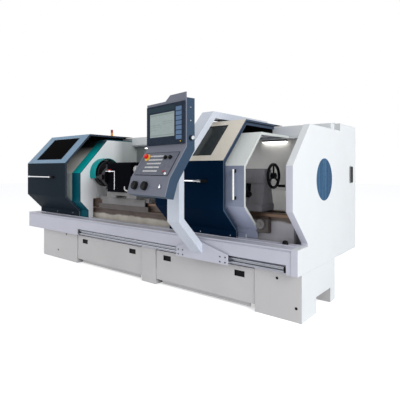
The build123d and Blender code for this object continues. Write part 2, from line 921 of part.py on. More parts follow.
for index, angle in enumerate(jaw_angles):
    with BuildPart() as jaw:
        foot_width = jaw_width - 2 * slide_gap
        foot_x = slot_x + slide_gap
        foot_height = jaw_slot_depth - slide_gap + jaw_base_height
        extrude(radial_face(foot_x, angle, jaw_grip_radius, jaw_outer, foot_width), amount=foot_height)
        step_x = chuck_right + jaw_base_height
        step_outer = jaw_grip_radius + 2 * jaw_step
        step_height = jaw_height - jaw_base_height
        extrude(radial_face(step_x, angle, jaw_grip_radius, step_outer, foot_width), amount=step_height)
    save(jaw.part, f"jaw_{index + 1}")

# Chuck guard: a curved band over the chuck that swings up on a pin behind it
guard_left = spindle_wall_x + guard_wall_gap
with BuildPart() as chuck_guard:
    with BuildSketch(Plane.YZ.offset(guard_left)):
        sweep_angle = guard_end_angle - guard_start_angle
        with BuildLine():
            outer_arc = CenterArc((spindle_y, spindle_z), guard_radius, guard_start_angle, sweep_angle)
            inner_radius = guard_radius - guard_sheet
            inner_arc = CenterArc((spindle_y, spindle_z), inner_radius, guard_start_angle, sweep_angle)
            Line(outer_arc @ 0, inner_arc @ 0)
            Line(outer_arc @ 1, inner_arc @ 1)
        make_face()
    extrude(amount=guard_length)
    low = (guard_left, spindle_y + guard_radius - guard_sheet, guard_pin_z - guard_web_height / 2)
    block(low, (guard_left + guard_ear_length, guard_pin_y, guard_pin_z + guard_web_height / 2))
    ear_at = (guard_left, guard_pin_y, guard_pin_z)
    rod(ear_at, (1, 0, 0), guard_ear_radius, guard_ear_length)
    rod(ear_at, (1, 0, 0), guard_pin_radius + running_gap, guard_ear_length, Mode.SUBTRACT)
save(chuck_guard.part, "chuck_guard")


def front_face(y, points):
    """A closed front-view outline at a place across the machine."""
    with BuildSketch(Plane.XZ.offset(-y)) as face:
        with BuildLine():
            Polyline(*points, close=True)
        make_face()
    return face.sketch


# Saddle on the ways with its apron, wipers and the dovetail of the cross slide
saddle_low = bed_top + slide_gap
saddle_top = saddle_low + saddle_height
saddle_right = saddle_left + saddle_length
saddle_front = bed_front - saddle_front_reach
saddle_rear = bed_rear + saddle_rear_reach
cross_left = saddle_left + cross_left_inset
cross_right = cross_left + cross_length
cross_middle = (cross_left + cross_right) / 2
dovetail_top = saddle_top + dovetail_height


def dovetail(grow):
    """Section of the cross slide's dovetail, grown by a clearance."""
    top_half = dovetail_half_width + grow
    foot_half = top_half - dovetail_narrow
    return [
        (cross_middle - foot_half, saddle_top),
        (cross_middle + foot_half, saddle_top),
        (cross_middle + top_half, dovetail_top + grow),
        (cross_middle - top_half, dovetail_top + grow),
    ]


with BuildPart() as saddle:
    block((saddle_left, saddle_front, saddle_low), (saddle_right, saddle_rear, saddle_top))
    for start in (saddle_left - overrun, saddle_right - wing_width):
        low = (start, spindle_y - way_gap / 2, saddle_low - overrun)
        high = (start + wing_width + overrun, spindle_y + way_gap / 2, saddle_top + overrun)
        block(low, high, Mode.SUBTRACT)
    for start in (saddle_left - wiper_thickness, saddle_right):
        low = (start, saddle_front + wiper_thickness, saddle_low)
        block(low, (start + wiper_thickness, bed_front + way_width, saddle_low + saddle_height / 2))
    low = (saddle_left + apron_inset, saddle_front - apron_depth, bed_top - apron_drop)
    block(low, (saddle_right - apron_inset, saddle_front, saddle_top - wiper_thickness))
    dovetail_length = saddle_rear - saddle_front
    extrude(front_face(saddle_front, dovetail(0)), amount=dovetail_length, dir=(0, 1, 0))
save(saddle.part, "saddle")

# Cross slide on the dovetail
cross_front = saddle_front - cross_front_reach
cross_top = dovetail_top + cross_height
with BuildPart() as cross_slide:
    low = (cross_left, cross_front, saddle_top + slide_gap)
    block(low, (cross_right, cross_front + cross_depth, cross_top))
    chamfer(cross_slide.part.edges().filter_by(Axis.Y).group_by(Axis.Z)[-1], wiper_thickness)
    groove = front_face(cross_front - overrun, dovetail(slide_gap))
    extrude(groove, amount=cross_depth + 2 * overrun, dir=(0, 1, 0), mode=Mode.SUBTRACT)
save(cross_slide.part, "cross_slide")

# Turret housing with a round cap on its right end
turret_left = cross_left + turret_left_inset
turret_right = turret_left + turret_length
turret_front = cross_front - turret_front_reach
turret_rear = turret_front + turret_depth
turret_top = cross_top + turret_height
disc_y = turret_front + turret_depth * disc_y_share
disc_z = cross_top + turret_height / 2
with BuildPart() as turret_housing:
    block((turret_left, turret_front, cross_top), (turret_right, turret_rear, turret_top))
    chamfer(turret_housing.part.edges().filter_by(Axis.X).group_by(Axis.Z)[-1], turret_edge)
    cap_at = (turret_right, turret_front + 2 * motor_cap_radius, turret_top - 2 * motor_cap_radius)
    rod(cap_at, (1, 0, 0), motor_cap_radius, motor_cap_length)
    ring_at = (turret_right + motor_cap_length - motor_cap_ring, cap_at[1], cap_at[2])
    rod(ring_at, (1, 0, 0), motor_cap_radius - motor_cap_ring, motor_cap_ring, Mode.SUBTRACT)
    hub_at = (turret_left, disc_y, disc_z)
    rod(hub_at, (1, 0, 0), disc_hub_radius + running_gap, disc_hub_length, Mode.SUBTRACT)
save(turret_housing.part, "turret_housing")

# Tool disc: an eight-sided plate on a hub, with a holder and a square tool on every second side
disc_right = turret_left - slide_gap
disc_left = disc_right - disc_length
with BuildPart() as tool_disc:
    disc_plane = Plane(origin=(disc_left, disc_y, disc_z), x_dir=(0, 1, 0), z_dir=(1, 0, 0))
    with BuildSketch(disc_plane):
        RegularPolygon(disc_radius, disc_sides, rotation=full_turn / disc_sides / 2)
    extrude(amount=disc_length)
    rod((disc_right, disc_y, disc_z), (1, 0, 0), disc_hub_radius, disc_hub_length)
    flat = disc_radius * cos(radians(full_turn / disc_sides / 2))
    for index in range(0, disc_sides, 2):
        angle = index * full_turn / disc_sides
        out = (0, cos(radians(angle)), sin(radians(angle)))
        holder_plane = Plane(origin=(disc_left, disc_y, disc_z), x_dir=out, z_dir=(1, 0, 0))
        with BuildSketch(holder_plane):
            with Locations((flat + holder_height / 2, 0)):
                Rectangle(holder_height, holder_width)
        extrude(amount=holder_length)
        with BuildSketch(holder_plane):
            with Locations((flat + holder_height / 2, 0)):
                Rectangle(shank_size, shank_size)
        extrude(amount=-shank_length)
save(tool_disc.part, "tool_disc")

# Coolant pipe on the front of the turret, with its valve and lever
pipe_x = turret_left + turret_length * pipe_start_share
pipe_y = turret_front - pipe_stand
pipe_z = cross_top + turret_height * pipe_height_share
pipe_low = cross_top + turret_height * pipe_low_share
valve_x = pipe_x - valve_inset
lever_x = valve_x - valve_length / 2
with BuildPart() as coolant_pipe:
    rod((pipe_x, turret_front, pipe_low), (0, -1, 0), pipe_radius, pipe_stand + pipe_radius)
    rod((pipe_x, pipe_y, pipe_low), (0, 0, 1), pipe_radius, pipe_z - pipe_low + pipe_radius)
    rod((pipe_x, pipe_y, pipe_z), (-1, 0, 0), pipe_radius, pipe_run)
    rod((valve_x, pipe_y, pipe_z), (-1, 0, 0), valve_radius, valve_length)
    pin_at = (lever_x, pipe_y, pipe_z + valve_radius)
    pin_hole = valve_pin_radius + running_gap
    rod(pin_at, (0, 0, -1), pin_hole, valve_pin_depth + slide_gap, Mode.SUBTRACT)
save(coolant_pipe.part, "coolant_pipe")

with BuildPart() as valve_lever:
    lever_low = pipe_z + valve_radius + slide_gap
    low = (lever_x - valve_lever_length, pipe_y - valve_lever_width / 2, lever_low)
    high = (lever_x + valve_lever_width, pipe_y + valve_lever_width / 2, lever_low + valve_lever_height)
    block(low, high)
    rod((lever_x, pipe_y, lever_low), (0, 0, -1), valve_pin_radius, valve_pin_depth)
save(valve_lever.part, "valve_lever")

# Tailstock: a foot on the ways, a waist and a bored head
tail_right = tail_left + tail_length
tail_low = bed_top + slide_gap
head_low = spindle_z - tail_barrel_radius
waist_left = tail_left + tail_length * tail_waist_start_share
foot_top = tail_low + tail_base_height
quill_rear = tail_left + quill_inside
clamp_x = waist_left + (tail_right - waist_left) * clamp_x_share
clamp_z = foot_top + (head_low - foot_top) * clamp_z_share
clamp_at = (clamp_x, spindle_y - tail_waist_half - tail_pad_reach, clamp_z)
with BuildPart() as tailstock_body:
    rod((tail_left, spindle_y, spindle_z), (1, 0, 0), tail_barrel_radius, tail_length)
    chamfer(tailstock_body.part.edges().filter_by(GeomType.CIRCLE), tail_edge)
    low = (tail_left, spindle_y - tail_half_width, tail_low)
    block(low, (tail_right, spindle_y + tail_half_width, foot_top))
    body_points = [
        (spindle_y - tail_waist_half, foot_top),
        (spindle_y + tail_waist_half, foot_top),
        (spindle_y + tail_neck_half, spindle_z),
        (spindle_y - tail_neck_half, spindle_z),
    ]
    extrude(side_face(waist_left, body_points), amount=tail_right - waist_left - tail_edge)
    rod((clamp_x, spindle_y, clamp_z), (0, -1, 0), clamp_boss, spindle_y - clamp_at[1])
    rod((tail_right, spindle_y, spindle_z), (1, 0, 0), screw_boss_radius, screw_boss_length)
    bore = quill_inside + overrun
    rod((tail_left, spindle_y, spindle_z), (1, 0, 0), quill_radius + running_gap, bore, Mode.SUBTRACT)
    through = tail_length + screw_boss_length
    rod((tail_left, spindle_y, spindle_z), (1, 0, 0), screw_radius + running_gap, through, Mode.SUBTRACT)
    rod(clamp_at, (0, 1, 0), clamp_pin_radius + running_gap, clamp_pin_depth + slide_gap, Mode.SUBTRACT)
save(tailstock_body.part, "tailstock_body")

with BuildPart() as quill:
    rod((quill_rear, spindle_y, spindle_z), (-1, 0, 0), quill_radius, quill_inside + quill_out)
    centre_x = tail_left - quill_out - centre_length / 2
    with Locations(Location((centre_x, spindle_y, spindle_z), (0, -quarter_turn, 0))):
        Cone(centre_radius, 0, centre_length)
    nut_radius = screw_radius + running_gap
    rod((quill_rear, spindle_y, spindle_z), (-1, 0, 0), nut_radius, screw_inside, Mode.SUBTRACT)
save(quill.part, "quill")

# Handwheel on the screw that drives the quill
hub_left = tail_right + screw_boss_length + slide_gap
rim_x = hub_left + wheel_hub_length / 2
rim_circle = wheel_radius - wheel_rim
with BuildPart() as handwheel:
    rim_at = (rim_x - wheel_rim, spindle_y, spindle_z)
    rod(rim_at, (1, 0, 0), wheel_radius, 2 * wheel_rim)
    rod(rim_at, (1, 0, 0), wheel_radius - 2 * wheel_rim, 2 * wheel_rim, Mode.SUBTRACT)
    chamfer(handwheel.part.edges().filter_by(GeomType.CIRCLE), wheel_rim * rim_edge_share)
    screw_left = quill_rear - screw_inside + overrun
    rod((screw_left, spindle_y, spindle_z), (1, 0, 0), screw_radius, hub_left - screw_left)
    rod((hub_left, spindle_y, spindle_z), (1, 0, 0), wheel_hub_radius, wheel_hub_length)
    for index in range(wheel_spokes):
        angle = quarter_turn + index * full_turn / wheel_spokes
        out = (0, cos(radians(angle)), sin(radians(angle)))
        rod((rim_x, spindle_y, spindle_z), out, spoke_radius, rim_circle)
    crank_y = spindle_y + rim_circle * cos(radians(crank_angle))
    crank_z = spindle_z + rim_circle * sin(radians(crank_angle))
    rod((rim_x - wheel_rim, crank_y, crank_z), (1, 0, 0), crank_pin_radius, crank_length)
    grip_start = (rim_x + 2 * wheel_rim, crank_y, crank_z)
    rod(grip_start, (1, 0, 0), crank_radius, crank_length - 2 * wheel_rim)
save(handwheel.part, "handwheel")

with BuildPart() as clamp_lever:
    boss_at = (clamp_x, clamp_at[1] - slide_gap, clamp_z)
    rod(boss_at, (0, -1, 0), clamp_boss, clamp_boss_length)
    rod(boss_at, (0, 1, 0), clamp_pin_radius, clamp_pin_depth)
    lever_at = (clamp_x, boss_at[1] - clamp_boss_length / 2, clamp_z)
    out = (cos(radians(clamp_angle)), 0, sin(radians(clamp_angle)))
    rod(lever_at, out, clamp_radius, clamp_length)
save(clamp_lever.part, "clamp_lever")

# Outer guards: folded sheets with end frames, shoes on the sill, hangers on the rail and a window
door_line = guard_line(
    door_front_reach, door_foot_inset, door_knee, door_brow, door_roof, door_rear, door_base,
)
frame_line = guard_line(
    door_front_reach, door_foot_inset, door_knee, door_brow, door_roof, door_flange_rear, door_base,
)
slant_y = (door_roof - door_brow) / guard_slope_share
slant_z = door_roof - door_brow
slant_length = (slant_y ** 2 + slant_z ** 2) ** half_share
slant_out = (0, -slant_z, slant_y)
window_height = slant_length - 2 * window_edge_margin
outer_doors = (
    ("left_door", left_door_left, left_door_length, left_handle_start, left_handle_length),
    ("right_door", right_door_left, right_door_length, right_handle_start, right_handle_length),
)


def slant_window(left, length, lap):
    """The window outline on the sloping panel of a guard, with a lap all round."""
    start = (left + length / 2, door_front, sill_z + door_brow)
    with BuildSketch(Plane(origin=start, x_dir=(1, 0, 0), z_dir=slant_out)) as face:
        with Locations((0, slant_length / 2)):
            wide = length - 2 * window_side_margin + 2 * lap
            Rectangle(wide, window_height + 2 * lap)
    return face.sketch


for name, left, length, handle_start, handle_length in outer_doors:
    right = left + length
    with BuildPart() as door:
        extrude(folded(left, door_line, sheet), amount=length)
        frame_depth = flange if name == "left_door" else flange_deep
        for start, deep in (
            (left, flange),
            (right - sheet, flange),
            (right - flange_groove - sheet, frame_depth),
        ):
            extrude(folded(start, frame_line[1:], deep), amount=sheet)
        for start in (left + shoe_inset, right - shoe_inset - shoe_length):
            shoe_low = (start, door_foot + sheet, strip_top + slide_gap)
            shoe_high = (start + shoe_length, door_foot + sheet + sill_strip_width, door_base + shoe_height)
            block(shoe_low, shoe_high)
            hang_low = (start, door_rail_y, cabinet_top + door_rail_height + slide_gap)
            hang_high = (start + shoe_length, door_rail_y + hanger_depth / 2, door_top - sheet)
            block(hang_low, hang_high)
        extrude(slant_window(left, length, 0), amount=-2 * sheet, dir=slant_out, mode=Mode.SUBTRACT)
    save(door.part, name)

    with BuildPart() as pane:
        slab = slant_window(left, length, window_lap)
        extrude(slab, amount=-sheet - glass, dir=slant_out)
        extrude(slab, amount=-sheet, dir=slant_out, mode=Mode.SUBTRACT)
    save(pane.part, f"{name}_window")

    with BuildPart() as handle:
        bar_left = left + handle_start
        bar_y = door_front - handle_reach + handle_radius
        bar_z = sill_z + handle_height
        rod((bar_left, bar_y, bar_z), (1, 0, 0), handle_radius, handle_length)
        for start in (bar_left, bar_left + handle_length - post_length):
            low = (start, bar_y, bar_z - post_height / 2)
            block(low, (start + post_length, door_front, bar_z + post_height / 2))
    save(handle.part, f"{name}_handle")

# Inner guard, nested inside the right outer guard, with an upright pull
inner_front = front - inner_front_reach
inner_foot = front + inner_foot_inset
inner_line = guard_line(
    inner_front_reach, inner_foot_inset, inner_knee, inner_brow, inner_roof, inner_rear, door_base,
)
inner_frame = guard_line(
    inner_front_reach, inner_foot_inset, inner_knee, inner_brow, inner_roof, inner_flange_rear, door_base,
)
with BuildPart() as inner_door:
    extrude(folded(inner_door_left, inner_line, sheet), amount=inner_door_length)
    for start in (inner_door_left, inner_door_right - sheet):
        extrude(folded(start, inner_frame[1:], flange), amount=sheet)
    for start in (inner_door_left + shoe_inset, inner_door_right - shoe_inset - shoe_length):
        low = (start, inner_strip, strip_top + slide_gap)
        block(low, (start + shoe_length, inner_foot, door_base + shoe_height))
        low = (start, header_front - inner_rail_depth, inner_rail_low + inner_rail_height + slide_gap)
        block(low, (start + shoe_length, front + inner_rear, sill_z + inner_roof - sheet))
save(inner_door.part, "inner_door")

with BuildPart() as inner_door_pull:
    pull_x = inner_door_right - pull_inset
    pull_y = inner_front - pull_reach + handle_radius
    pull_z = sill_z + pull_low
    rod((pull_x, pull_y, pull_z), (0, 0, 1), handle_radius, pull_length)
    for start in (pull_z, pull_z + pull_length - pull_block):
        low = (pull_x - post_height / 2, pull_y, start)
        block(low, (pull_x + post_height / 2, inner_front, start + pull_block))
save(inner_door_pull.part, "inner_door_pull")

# Control desk: a carrier on the front rail and a folded arm over the guards to the rear rail
arm_right = arm_left + arm_width
arm_middle = (arm_left + arm_right) / 2
carrier_back = lip_front - plate
carrier_front = carrier_back - carrier_thickness
carrier_left = arm_left - carrier_left_reach
carrier_right = arm_right + carrier_right_reach
with BuildPart() as desk_carrier:
    shoulder = carrier_low + carrier_height
    peak = carrier_low + carrier_peak
    outline = [
        (carrier_left, carrier_low),
        (carrier_right, carrier_low),
        (carrier_right, shoulder),
        (arm_right, peak),
        (arm_left, peak),
        (carrier_left, shoulder),
    ]
    extrude(front_face(carrier_front, outline), amount=carrier_thickness, dir=(0, 1, 0))
    for start in (carrier_left + slider_inset, carrier_right - slider_inset - slider_length):
        low = (start, carrier_back, rail_middle_z - slider_height / 2)
        block(low, (start + slider_length, rod_y - slide_gap, rail_middle_z + slider_height / 2))
        for side in (-1, 1):
            groove_at = (start, rod_y, rail_middle_z + side * rail_rod_spread / 2)
            rod(groove_at, (1, 0, 0), rail_rod_radius + slide_gap, slider_length, Mode.SUBTRACT)
save(desk_carrier.part, "desk_carrier")

arm_front = front - arm_front_reach
pivot_y = arm_front - pivot_reach
arm_start_y = sill_rear
arm_start_z = arm_bend - (arm_start_y - arm_front) * knee_slope_share
arm_line = [
    (arm_start_y, arm_start_z),
    (arm_front, arm_bend),
    (arm_front, arm_brow),
    (arm_front + (arm_top - arm_brow) / guard_slope_share, arm_top),
    (front + arm_rear_inset, arm_top),
]
with BuildPart() as desk_arm:
    extrude(folded(arm_left, arm_line, arm_thickness), amount=arm_width)
    low = (arm_left - overrun, carrier_front, 0)
    block(low, (arm_right + overrun, sill_rear + sill_depth, arm_bend), Mode.SUBTRACT)
    foot_low = (arm_left, top_rail_y - arm_foot_length / 2, cabinet_top + top_rail_height + slide_gap)
    block(foot_low, (arm_right, top_rail_y + arm_foot_length / 2, arm_top - arm_thickness))
    low = (arm_middle - pivot_radius, pivot_y, pivot_z - pivot_height / 2)
    block(low, (arm_middle + pivot_radius, arm_front, pivot_z + pivot_height / 2))
    post_at = (arm_middle, pivot_y, pivot_z - pivot_height / 2)
    rod(post_at, (0, 0, 1), pivot_radius, pivot_height)
    rod(post_at, (0, 0, 1), pivot_pin_radius + running_gap, pivot_height, Mode.SUBTRACT)
save(desk_arm.part, "desk_arm")

# Console, drawn square to its own pivot and then turned on it
desk = Plane(
    origin=(arm_middle, pivot_y, 0),
    x_dir=(cos(radians(console_turn)), sin(radians(console_turn)), 0),
    z_dir=(0, 0, 1),
)
console_left = console_shift - console_width / 2
console_right = console_shift + console_width / 2
face_y = -console_stand - console_depth
key_y = face_y - key_forward
low_y = key_y - low_forward
console_line = [
    (low_y, console_bottom),
    (key_y, console_lower),
    (face_y, console_crease),
    (face_y, console_top),
]
key_rise = console_crease - console_lower
low_rise = console_lower - console_bottom
key_length = (key_forward ** 2 + key_rise ** 2) ** half_share
low_length = (low_forward ** 2 + low_rise ** 2) ** half_share
key_out = (0, -key_rise, key_forward)
low_out = (0, -low_rise, low_forward)
key_plane = Plane(origin=(console_left, key_y, console_lower), x_dir=(1, 0, 0), z_dir=key_out)
low_plane = Plane(origin=(console_left, low_y, console_bottom), x_dir=(1, 0, 0), z_dir=low_out)


def spot(plane, length, place, height):
    """A plane on a console panel at shares of its width and length, raised by a height."""
    middle = plane.from_local_coords((console_width * place[0], length * place[1]))
    return plane.shift_origin(middle).offset(height)


def round_face(plane, radius):
    """A circle on a plane."""
    with BuildSketch(plane) as face:
        Circle(radius)
    return face.sketch


fittings = (
    ("emergency_stop", key_plane, key_length, stop_place, keypad_depth + stop_collar_height),
    ("feed_knob", key_plane, key_length, feed_knob_place, keypad_depth),
    ("speed_knob", key_plane, key_length, speed_knob_place, keypad_depth),
    ("x_dial", low_plane, low_length, x_dial_place, dial_seat_height),
    ("z_dial", low_plane, low_length, z_dial_place, dial_seat_height),
    ("lock_switch", low_plane, low_length, lock_place, dial_seat_height),
)
with BuildPart() as console_housing:
    extrude(folded(console_left, console_line, panel_thickness + console_depth), amount=console_width)
    skin = folded(console_left - overrun, console_line, panel_thickness)
    extrude(skin, amount=console_width + 2 * overrun, mode=Mode.SUBTRACT)
    for start in (pivot_z - pivot_height / 2 - lug_thickness, pivot_z + pivot_height / 2):
        gap = -slide_gap if start < pivot_z else slide_gap
        low = (-lug_half_width, -lug_depth, start + gap)
        block(low, (lug_half_width, 0, start + gap + lug_thickness))
        rod((0, 0, start + gap), (0, 0, 1), lug_half_width / 2, lug_thickness)
    pin_low = pivot_z - pivot_height / 2 - slide_gap - lug_thickness / 2
    rod((0, 0, pin_low), (0, 0, 1), pivot_pin_radius, pivot_height + lug_thickness)
    for name, plane, length, place, height in fittings:
        socket = round_face(spot(plane, length, place, height), stem_radius + running_gap)
        extrude(socket, amount=-socket_depth, mode=Mode.SUBTRACT)
save(desk.location * console_housing.part, "console_housing")

with BuildPart() as console_panel:
    extrude(folded(console_left, console_line, panel_thickness), amount=console_width)
    ear_left = console_right - ear_width
    ear = [
        (ear_left, console_top),
        (console_right, console_top),
        (console_right, console_top + ear_height),
        (ear_left + ear_slope, console_top + ear_height),
    ]
    extrude(front_face(face_y, ear), amount=panel_thickness, dir=(0, 1, 0))
    with BuildSketch(key_plane):
        pad_low = key_length * keypad_low_share
        pad_height = key_length * keypad_high_share - pad_low
        with Locations((console_width / 2, pad_low + pad_height / 2)):
            Rectangle(console_width * (1 - 2 * keypad_side_share), pad_height)
    extrude(amount=keypad_depth)
    key_left = console_width * keypad_u_shares[0] + key_width
    with BuildSketch(key_plane.offset(keypad_depth)):
        for row in range(key_rows):
            v = pad_low + pad_height * (row + 1) / (key_rows + 1)
            for column in range(key_columns):
                with Locations((key_left + column * (key_width + key_gap) + key_width, v)):
                    Rectangle(key_width, key_height)
    extrude(amount=key_depth)
    for name, plane, length, place, height in fittings:
        seat_radius = stop_collar if name == "emergency_stop" else dial_seat_radius
        if name == "lock_switch":
            seat_radius = lock_radius + dial_seat_height
        if name not in ("feed_knob", "speed_knob"):
            extrude(round_face(spot(plane, length, place, 0), seat_radius), amount=height)
        socket = round_face(spot(plane, length, place, height), stem_radius + running_gap)
        extrude(socket, amount=-socket_depth, mode=Mode.SUBTRACT)
save(desk.location * console_panel.part, "console_panel")

# Screen: a dark frame on the upright panel with a recessed display
with BuildPart() as screen:
    screen_low = console_crease + bezel_low_margin
    screen_high = console_top - bezel_top_margin
    wide = console_width - 2 * bezel_margin
    tall = screen_high - screen_low
    low = (console_left + bezel_margin, face_y - bezel_depth, screen_low)
    block(low, (console_right - bezel_margin, face_y, screen_high))
    pocket_low = (
        console_left + bezel_margin + wide * screen_side_shares[0],
        face_y - bezel_depth,
        screen_low + tall * screen_height_shares[0],
    )
    pocket_high = (
        console_left + bezel_margin + wide * screen_side_shares[1],
        face_y - bezel_depth + screen_inset,
        screen_low + tall * screen_height_shares[1],
    )
    block(pocket_low, pocket_high, Mode.SUBTRACT)
save(desk.location * screen.part, "screen")

# Push button, knobs, dials and lock: each a head on a stem in its socket
heads = {
    "emergency_stop": (stop_radius, stop_height),
    "feed_knob": (knob_radius, knob_height),
    "speed_knob": (knob_radius, knob_height),
    "x_dial": (dial_radius, dial_height),
    "z_dial": (dial_radius, dial_height),
    "lock_switch": (lock_radius, lock_height),
}
for name, plane, length, place, height in fittings:
    radius, tall = heads[name]
    with BuildPart() as fitting:
        stand = stop_travel if name == "emergency_stop" else 0
        top = spot(plane, length, place, height + slide_gap)
        extrude(round_face(top.offset(-stem_depth), stem_radius), amount=stem_depth + stand + tall / 2)
        extrude(round_face(top.offset(stand), radius), amount=tall)
        rim_edges = fitting.part.faces().sort_by(Axis(top.origin, top.z_dir))[-1].edges()
        chamfer(rim_edges, tall * head_edge_share)
        if name != "emergency_stop":
            mark = key_tab if name == "lock_switch" else radius
            with BuildSketch(top.offset(tall)):
                with Locations((0, mark / 2 - knob_pointer)):
                    Rectangle(knob_pointer, mark)
            extrude(amount=key_depth)
    save(desk.location * fitting.part, name)

# Chip wagons in the bays: a front panel with two recessed grips, an open tank and two wheel sets
wagons = (
    ("left", left_pedestal_right, middle_left),
    ("right", middle_right, right_pedestal_left),
)
panel_front = front + wagon_panel_inset
panel_back = panel_front + wagon_panel_thickness
axle_places = (("front", panel_back + axle_inset), ("rear", panel_back + wagon_depth - axle_inset))
for side, bay_left, bay_right in wagons:
    panel_left = bay_left + wagon_gap
    panel_right = bay_right - wagon_gap
    tank_left = bay_left + wagon_side_inset
    tank_right = bay_right - wagon_side_inset
    with BuildPart() as wagon:
        block((panel_left, panel_front, wagon_panel_low), (panel_right, panel_back, wagon_panel_high))
        for share in wagon_grip_shares:
            x = panel_left + (panel_right - panel_left) * share
            low = (x - wagon_grip_width / 2, panel_front - overrun, wagon_panel_low + wagon_grip_low)
            high = (
                x + wagon_grip_width / 2,
                panel_front + wagon_grip_depth,
                wagon_panel_low + wagon_grip_low + wagon_grip_height,
            )
            block(low, high, Mode.SUBTRACT)
        for start, end in ((bay_left + slide_gap, panel_left), (panel_right, bay_right - slide_gap)):
            block((start, panel_front, side_pad_low), (end, panel_back, side_pad_low + side_pad_height))
        tank_rear = panel_back + wagon_depth
        block((tank_left, panel_back, wagon_low), (tank_right, tank_rear, wagon_high))
        low = (tank_left + wagon_wall, panel_back + wagon_wall, wagon_low + wagon_wall)
        high = (tank_right - wagon_wall, tank_rear - wagon_wall, wagon_high + overrun)
        block(low, high, Mode.SUBTRACT)
        skirt_front = panel_back + skirt_inset
        skirt_high = (tank_right, skirt_front + plate, wagon_low + wagon_wall)
        block((tank_left, skirt_front, skirt_low), skirt_high)
        for place, axle_y in axle_places:
            for start in (tank_left, tank_right - hanger_thickness):
                low = (start, axle_y - hanger_half, hanger_low)
                block(low, (start + hanger_thickness, axle_y + hanger_half, wagon_low))
                hole_at = (start, axle_y, wheel_size)
                rod(hole_at, (1, 0, 0), axle_radius + running_gap, hanger_thickness, Mode.SUBTRACT)
    save(wagon.part, f"{side}_wagon")

    for place, axle_y in axle_places:
        with BuildPart() as wheel_set:
            axle_left = tank_left - caster_side_gap - wheel_thickness
            axle_right = tank_right + caster_side_gap + wheel_thickness
            rod((axle_left, axle_y, wheel_size), (1, 0, 0), axle_radius, axle_right - axle_left)
            for start in (axle_left, axle_right - wheel_thickness):
                rod((start, axle_y, wheel_size), (1, 0, 0), wheel_size, wheel_thickness)
        save(wheel_set.part, f"{side}_wheels_{place}")
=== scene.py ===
import bmesh
import bpy
import json
from math import cos, hypot, pi, radians, sin
from mathutils import Matrix, Vector
from mathutils.geometry import interpolate_bezier


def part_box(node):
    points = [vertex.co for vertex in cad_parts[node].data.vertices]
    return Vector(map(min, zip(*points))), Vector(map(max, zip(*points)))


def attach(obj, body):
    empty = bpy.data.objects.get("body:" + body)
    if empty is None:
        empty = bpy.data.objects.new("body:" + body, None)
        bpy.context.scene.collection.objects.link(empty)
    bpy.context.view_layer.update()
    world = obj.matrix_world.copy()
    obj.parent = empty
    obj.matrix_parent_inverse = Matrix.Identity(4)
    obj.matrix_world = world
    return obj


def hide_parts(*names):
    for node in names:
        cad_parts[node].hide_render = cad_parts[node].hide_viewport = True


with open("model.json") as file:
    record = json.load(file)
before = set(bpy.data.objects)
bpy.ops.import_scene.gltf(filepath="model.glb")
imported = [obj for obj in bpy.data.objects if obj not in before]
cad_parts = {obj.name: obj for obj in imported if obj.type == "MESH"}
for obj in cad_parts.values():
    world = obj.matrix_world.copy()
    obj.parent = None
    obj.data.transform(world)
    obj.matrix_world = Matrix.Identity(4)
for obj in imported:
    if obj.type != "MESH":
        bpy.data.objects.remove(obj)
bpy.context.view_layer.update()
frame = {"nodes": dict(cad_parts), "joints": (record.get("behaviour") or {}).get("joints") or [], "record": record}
nodes = frame["nodes"]
body_of = {node: body for body, members in frame["record"]["behaviour"]["bodies"].items() for node in members}
joints = {joint["name"]: joint for joint in frame["joints"]}

# Camera and light, in metres and degrees
camera_place = (3.162, -3.381, 1.305)
camera_turn = 38.85
camera_lens = 33.9
camera_sensor = 36.0
horizon_shift = -0.079
floor_span = 60.0
sky_level = 0.47
floor_white = 0.56

# Console frame: its pivot and turn, and the sizes that its fittings follow
console_turn = radians(-10.0)
pivot = Vector(joints["console_swivel"]["pos_m"])
desk = Matrix.Translation((pivot.x, pivot.y, 0.0)) @ Matrix.Rotation(console_turn, 4, "Z")
console_left = -0.224
console_width = 0.58
face_y = -0.1
screen_front = 0.01
screen_recess = 0.003
screen_low = 1.514
screen_tall = 0.355
screen_side = 0.008
display_shares = (0.09, 0.75)
display_height_shares = (0.2, 0.8)
key_shares = (0.79, 0.93)
key_count = 7

# Finish sizes
edge_round = 0.0016
sharp_angle = radians(40.0)
flat_angle = radians(0.4)
weld_gap = 0.00002
screw_radius = 0.0065
screw_height = 0.0022
screw_sides = 12

# Scales and depths of the finishes' noise
cloud_scale = 2.2
gloss_scale = 9.0
peel_scale = 420.0
peel_depth = 0.0006
line_scale = 14.0
grain_scale = 700.0
grain_depth = 0.0004
patch_scale = 6.0
pebble_scale = 160.0
pebble_depth = 0.001
pebble_strength = 0.18
oil_scale = 16.0
specular = 0.4

# Sockets of a mix node for two colours, and its result
mix_first, mix_second, mix_result = 6, 7, 2

# Directions, and a distance past the whole part
along_x, along_y, along_z = (1, 0, 0), (0, 1, 0), (0, 0, 1)
to_front, to_left = (0, -1, 0), (-1, 0, 0)
far = 100.0
everywhere = (-far, far)


def colour(red, green, blue):
    """A colour given in screen values from 0 to 255, as the shader's linear values."""
    linear = []
    for value in (red / 255, green / 255, blue / 255):
        linear.append(value / 12.92 if value <= 0.04045 else ((value + 0.055) / 1.055) ** 2.4)
    return (*linear, 1.0)


def darker(base, *shares):
    """A colour with each channel taken down to a share."""
    return (*(value * share for value, share in zip(base, shares)), 1.0)


def new_material(name, rough, metal=0.0):
    """A node material with its shader and the object's own coordinates."""
    material = bpy.data.materials.new(name)
    material.use_nodes = True
    tree = material.node_tree
    shader = tree.nodes["Principled BSDF"]
    shader.inputs["Metallic"].default_value = metal
    shader.inputs["Roughness"].default_value = rough
    place = tree.nodes.new("ShaderNodeTexCoord")
    return material, tree, shader, place.outputs["Object"]


